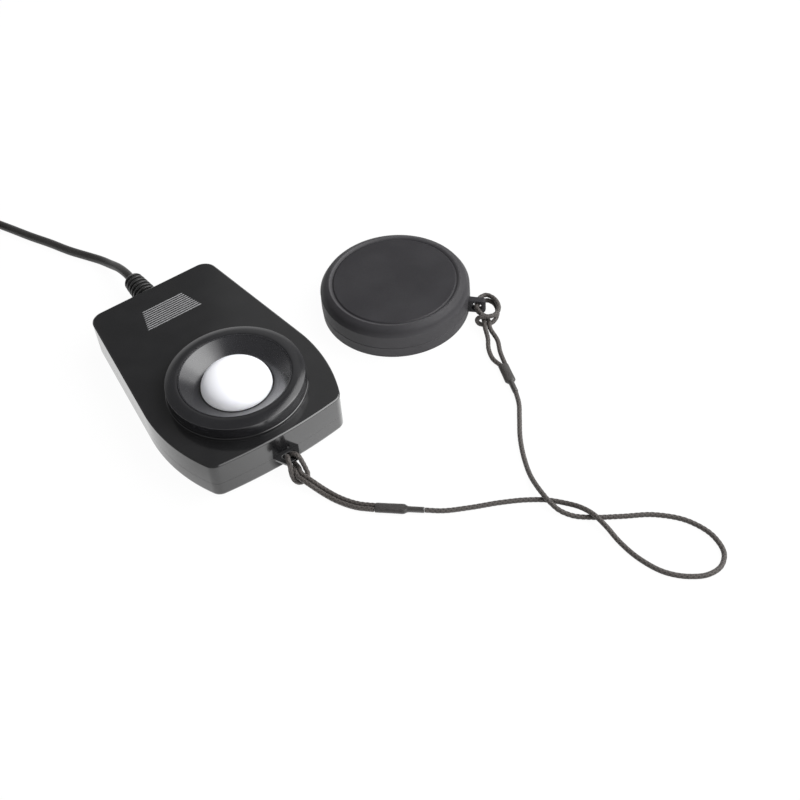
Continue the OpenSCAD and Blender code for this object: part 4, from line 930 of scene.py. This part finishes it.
EYE_U, EYE_Z, EYE_R, FIN_T = 29.2, 3.8, 1.75, 2.4
fin_outline = dense(rounded([
    (25.0, 1.1, 0.3), (32.2, 1.1, 0.8), (32.2, 6.5, 0.8), (25.0, 6.5, 0.3)], closed=True))
fin_reach = reach_of(fin_outline, np.array([EYE_U, EYE_Z]), turn_by)
fin_section = rounded([
    (0, -0.5, 0.2), (1, -0.5, 0.2), (1, 0.5, 0.2), (0, 0.5, 0.2)], steps=5, closed=True)
inner_half = fin_section[:, :1] < 0.5
fin_r = np.where(inner_half, EYE_R + fin_section[:, :1], fin_reach + fin_section[:, :1] - 1)
fin_u, fin_z = EYE_U + fin_r * np.cos(turn_by), EYE_Z + fin_r * np.sin(turn_by)
thick = np.sqrt(np.clip((FIN_T / 2) ** 2 - np.clip(fin_u - 31.0, 0, None) ** 2, 0.09, None)) * 2
fin_grid = np.stack([fin_u, fin_section[:, 1:] * thick, fin_z], -1) @ FIN_TURN.T + CAP_AT
fin_skin = closed_skin(fin_grid, ring=True)
cap_piece = make_piece("dust_cap", [cup_skin, fin_skin], rub=np.concatenate([
    np.repeat(rub, CUP_SIDES), np.zeros(2 + len(fin_skin[0]))]))
dress(cap_piece, cap_vinyl, ["sensor_cap"], body="cap")

# %% [markdown]
# ## Table and light
# The table is plain white. For camera and mirror-like rays most of it simply glows at the
# level of white, so the background stays even, and the rest is a matt white that keeps a faint
# shadow. For mirror-like rays the glow is raised in a painted pool of light before the front wall
# and lowered in a painted shadow under the tab, and the front wall mirrors both. A large soft light
# with a brighter middle stands high on the right, and a weak one behind. The surroundings fade
# from white at table height to grey overhead, and are dim at both sides.

# %% The table
GLOW, FLOOR_HALF, WHITE = 0.96, 6.0, (1.0, 1.0, 1.0, 1.0)
# Painted light in the table's mirror-like glow: a brighter pool before the front wall, and a
# painted shadow under the tab
BRIGHT_SPOT, SPOT_FAR, SPOT_NEAR, SPOT_LEVELS = (0.018, -0.062, 0.0), 0.062, 0.022, (1.1, 2.4)
TAB_SHADE, SHADE_NEAR, SHADE_FAR, SHADE_LEVEL = (0.0015, -0.0462, 0.0), 0.003, 0.006, 0.1
floor_mesh = bpy.data.meshes.new("table")
floor_corners = np.array([(-1, -1, 0), (1, -1, 0), (1, 1, 0), (-1, 1, 0)]) * FLOOR_HALF
floor_mesh.from_pydata(floor_corners, [], [(0, 1, 2, 3)])
floor = bpy.data.objects.new("table", floor_mesh)
studio.collection.objects.link(floor)
table_paint, tree, place = new_tree("white_table")
rays = add(tree, "ShaderNodeLightPath").outputs
seen = maths(tree, "MAXIMUM", rays["Is Camera Ray"], rays["Is Glossy Ray"])
seen = maths(tree, "MAXIMUM", seen, rays["Is Transmission Ray"])
share_of_glow = maths(tree, "MULTIPLY", seen, GLOW)
matt = add(tree, "ShaderNodeBsdfDiffuse", {"Color": linear("#f4f4f4")})
to_front, to_tab = (
    add(tree, "ShaderNodeVectorMath", {0: place, 1: spot}, operation="DISTANCE").outputs["Value"]
    for spot in (BRIGHT_SPOT, TAB_SHADE))
# Painted pool of light and painted shadow, seen only in mirror-like rays
painted_light_pool = ramp(tree, to_front, SPOT_FAR, SPOT_NEAR, *SPOT_LEVELS)
painted_tab_shadow = ramp(tree, to_tab, SHADE_NEAR, SHADE_FAR, SHADE_LEVEL, 1.0)
more = maths(tree, "MULTIPLY_ADD", painted_light_pool, painted_tab_shadow, -1.0)
level = maths(tree, "MULTIPLY_ADD", more, rays["Is Glossy Ray"], 1.0)
glow = add(tree, "ShaderNodeEmission", {"Color": WHITE, "Strength": level})
mixed = add(tree, "ShaderNodeMixShader", {
    0: share_of_glow, 1: matt.outputs[0], 2: glow.outputs[0]})
add(tree, "ShaderNodeOutputMaterial", {"Surface": mixed.outputs[0]})
floor_mesh.materials.append(table_paint)
print("table:", 2 * FLOOR_HALF, "m wide")

# %% The surroundings and the lamps
world = bpy.data.worlds.new("studio")
world.use_nodes = True
tree = world.node_tree
tree.nodes.clear()
direction = add(tree, "ShaderNodeTexCoord").outputs["Generated"]
parts = add(tree, "ShaderNodeSeparateXYZ", {"Vector": direction}).outputs
SIDE_MIDDLE, SIDE_LEVEL, SMOOTH = 0.2, 0.34, "SMOOTHSTEP"
behind = ramp(tree, parts["Z"], 0.2, 0.62, 0.9, 0.22, SMOOTH)
before = ramp(tree, parts["Z"], 0.3, 0.95, 1.0, 0.3, SMOOTH)
aside = maths(tree, "ABSOLUTE", maths(tree, "SUBTRACT", parts["X"], SIDE_MIDDLE))
at_side = ramp(tree, aside, 0.4, 0.8, 0.0, 1.0, SMOOTH)
in_front = ramp(tree, parts["Y"], 0.1, -0.45, 0.0, 1.0, SMOOTH)
behind = add(tree, "ShaderNodeMix", {0: at_side, 2: behind, 3: SIDE_LEVEL}).outputs[0]
level = add(tree, "ShaderNodeMix", {0: in_front, 2: behind, 3: before}).outputs[0]
sky = add(tree, "ShaderNodeBackground", {"Color": WHITE, "Strength": level})
add(tree, "ShaderNodeOutputWorld", {"Surface": sky.outputs[0]})
studio.world = world


def softbox(name, towards, distance, wide, high, power):
    """An area lamp seen from the sensor in one direction, turned to face the sensor."""
    aim = Vector((*SENSOR, 15.0)) * MM
    lamp = bpy.data.lights.new(name, "AREA")
    lamp.shape, lamp.size, lamp.size_y, lamp.energy = "RECTANGLE", wide, high, power
    holder = bpy.data.objects.new(name, lamp)
    way = Vector(towards).normalized()
    holder.location = aim + way * distance
    holder.rotation_mode = "QUATERNION"
    holder.rotation_quaternion = way.to_track_quat("Z", "Y")
    studio.collection.objects.link(holder)
    print(f"{name}: {wide} m wide, {power} W")


softbox("right_softbox", (0.61, -0.31, 0.72), 0.9, 1.36, 0.9, 13.2)
softbox("right_softbox_core", (0.60, -0.34, 0.72), 0.88, 0.6, 0.5, 3.5)
softbox("back_softbox", (0.45, 0.62, 0.64), 1.0, 0.38, 0.38, 0.15)
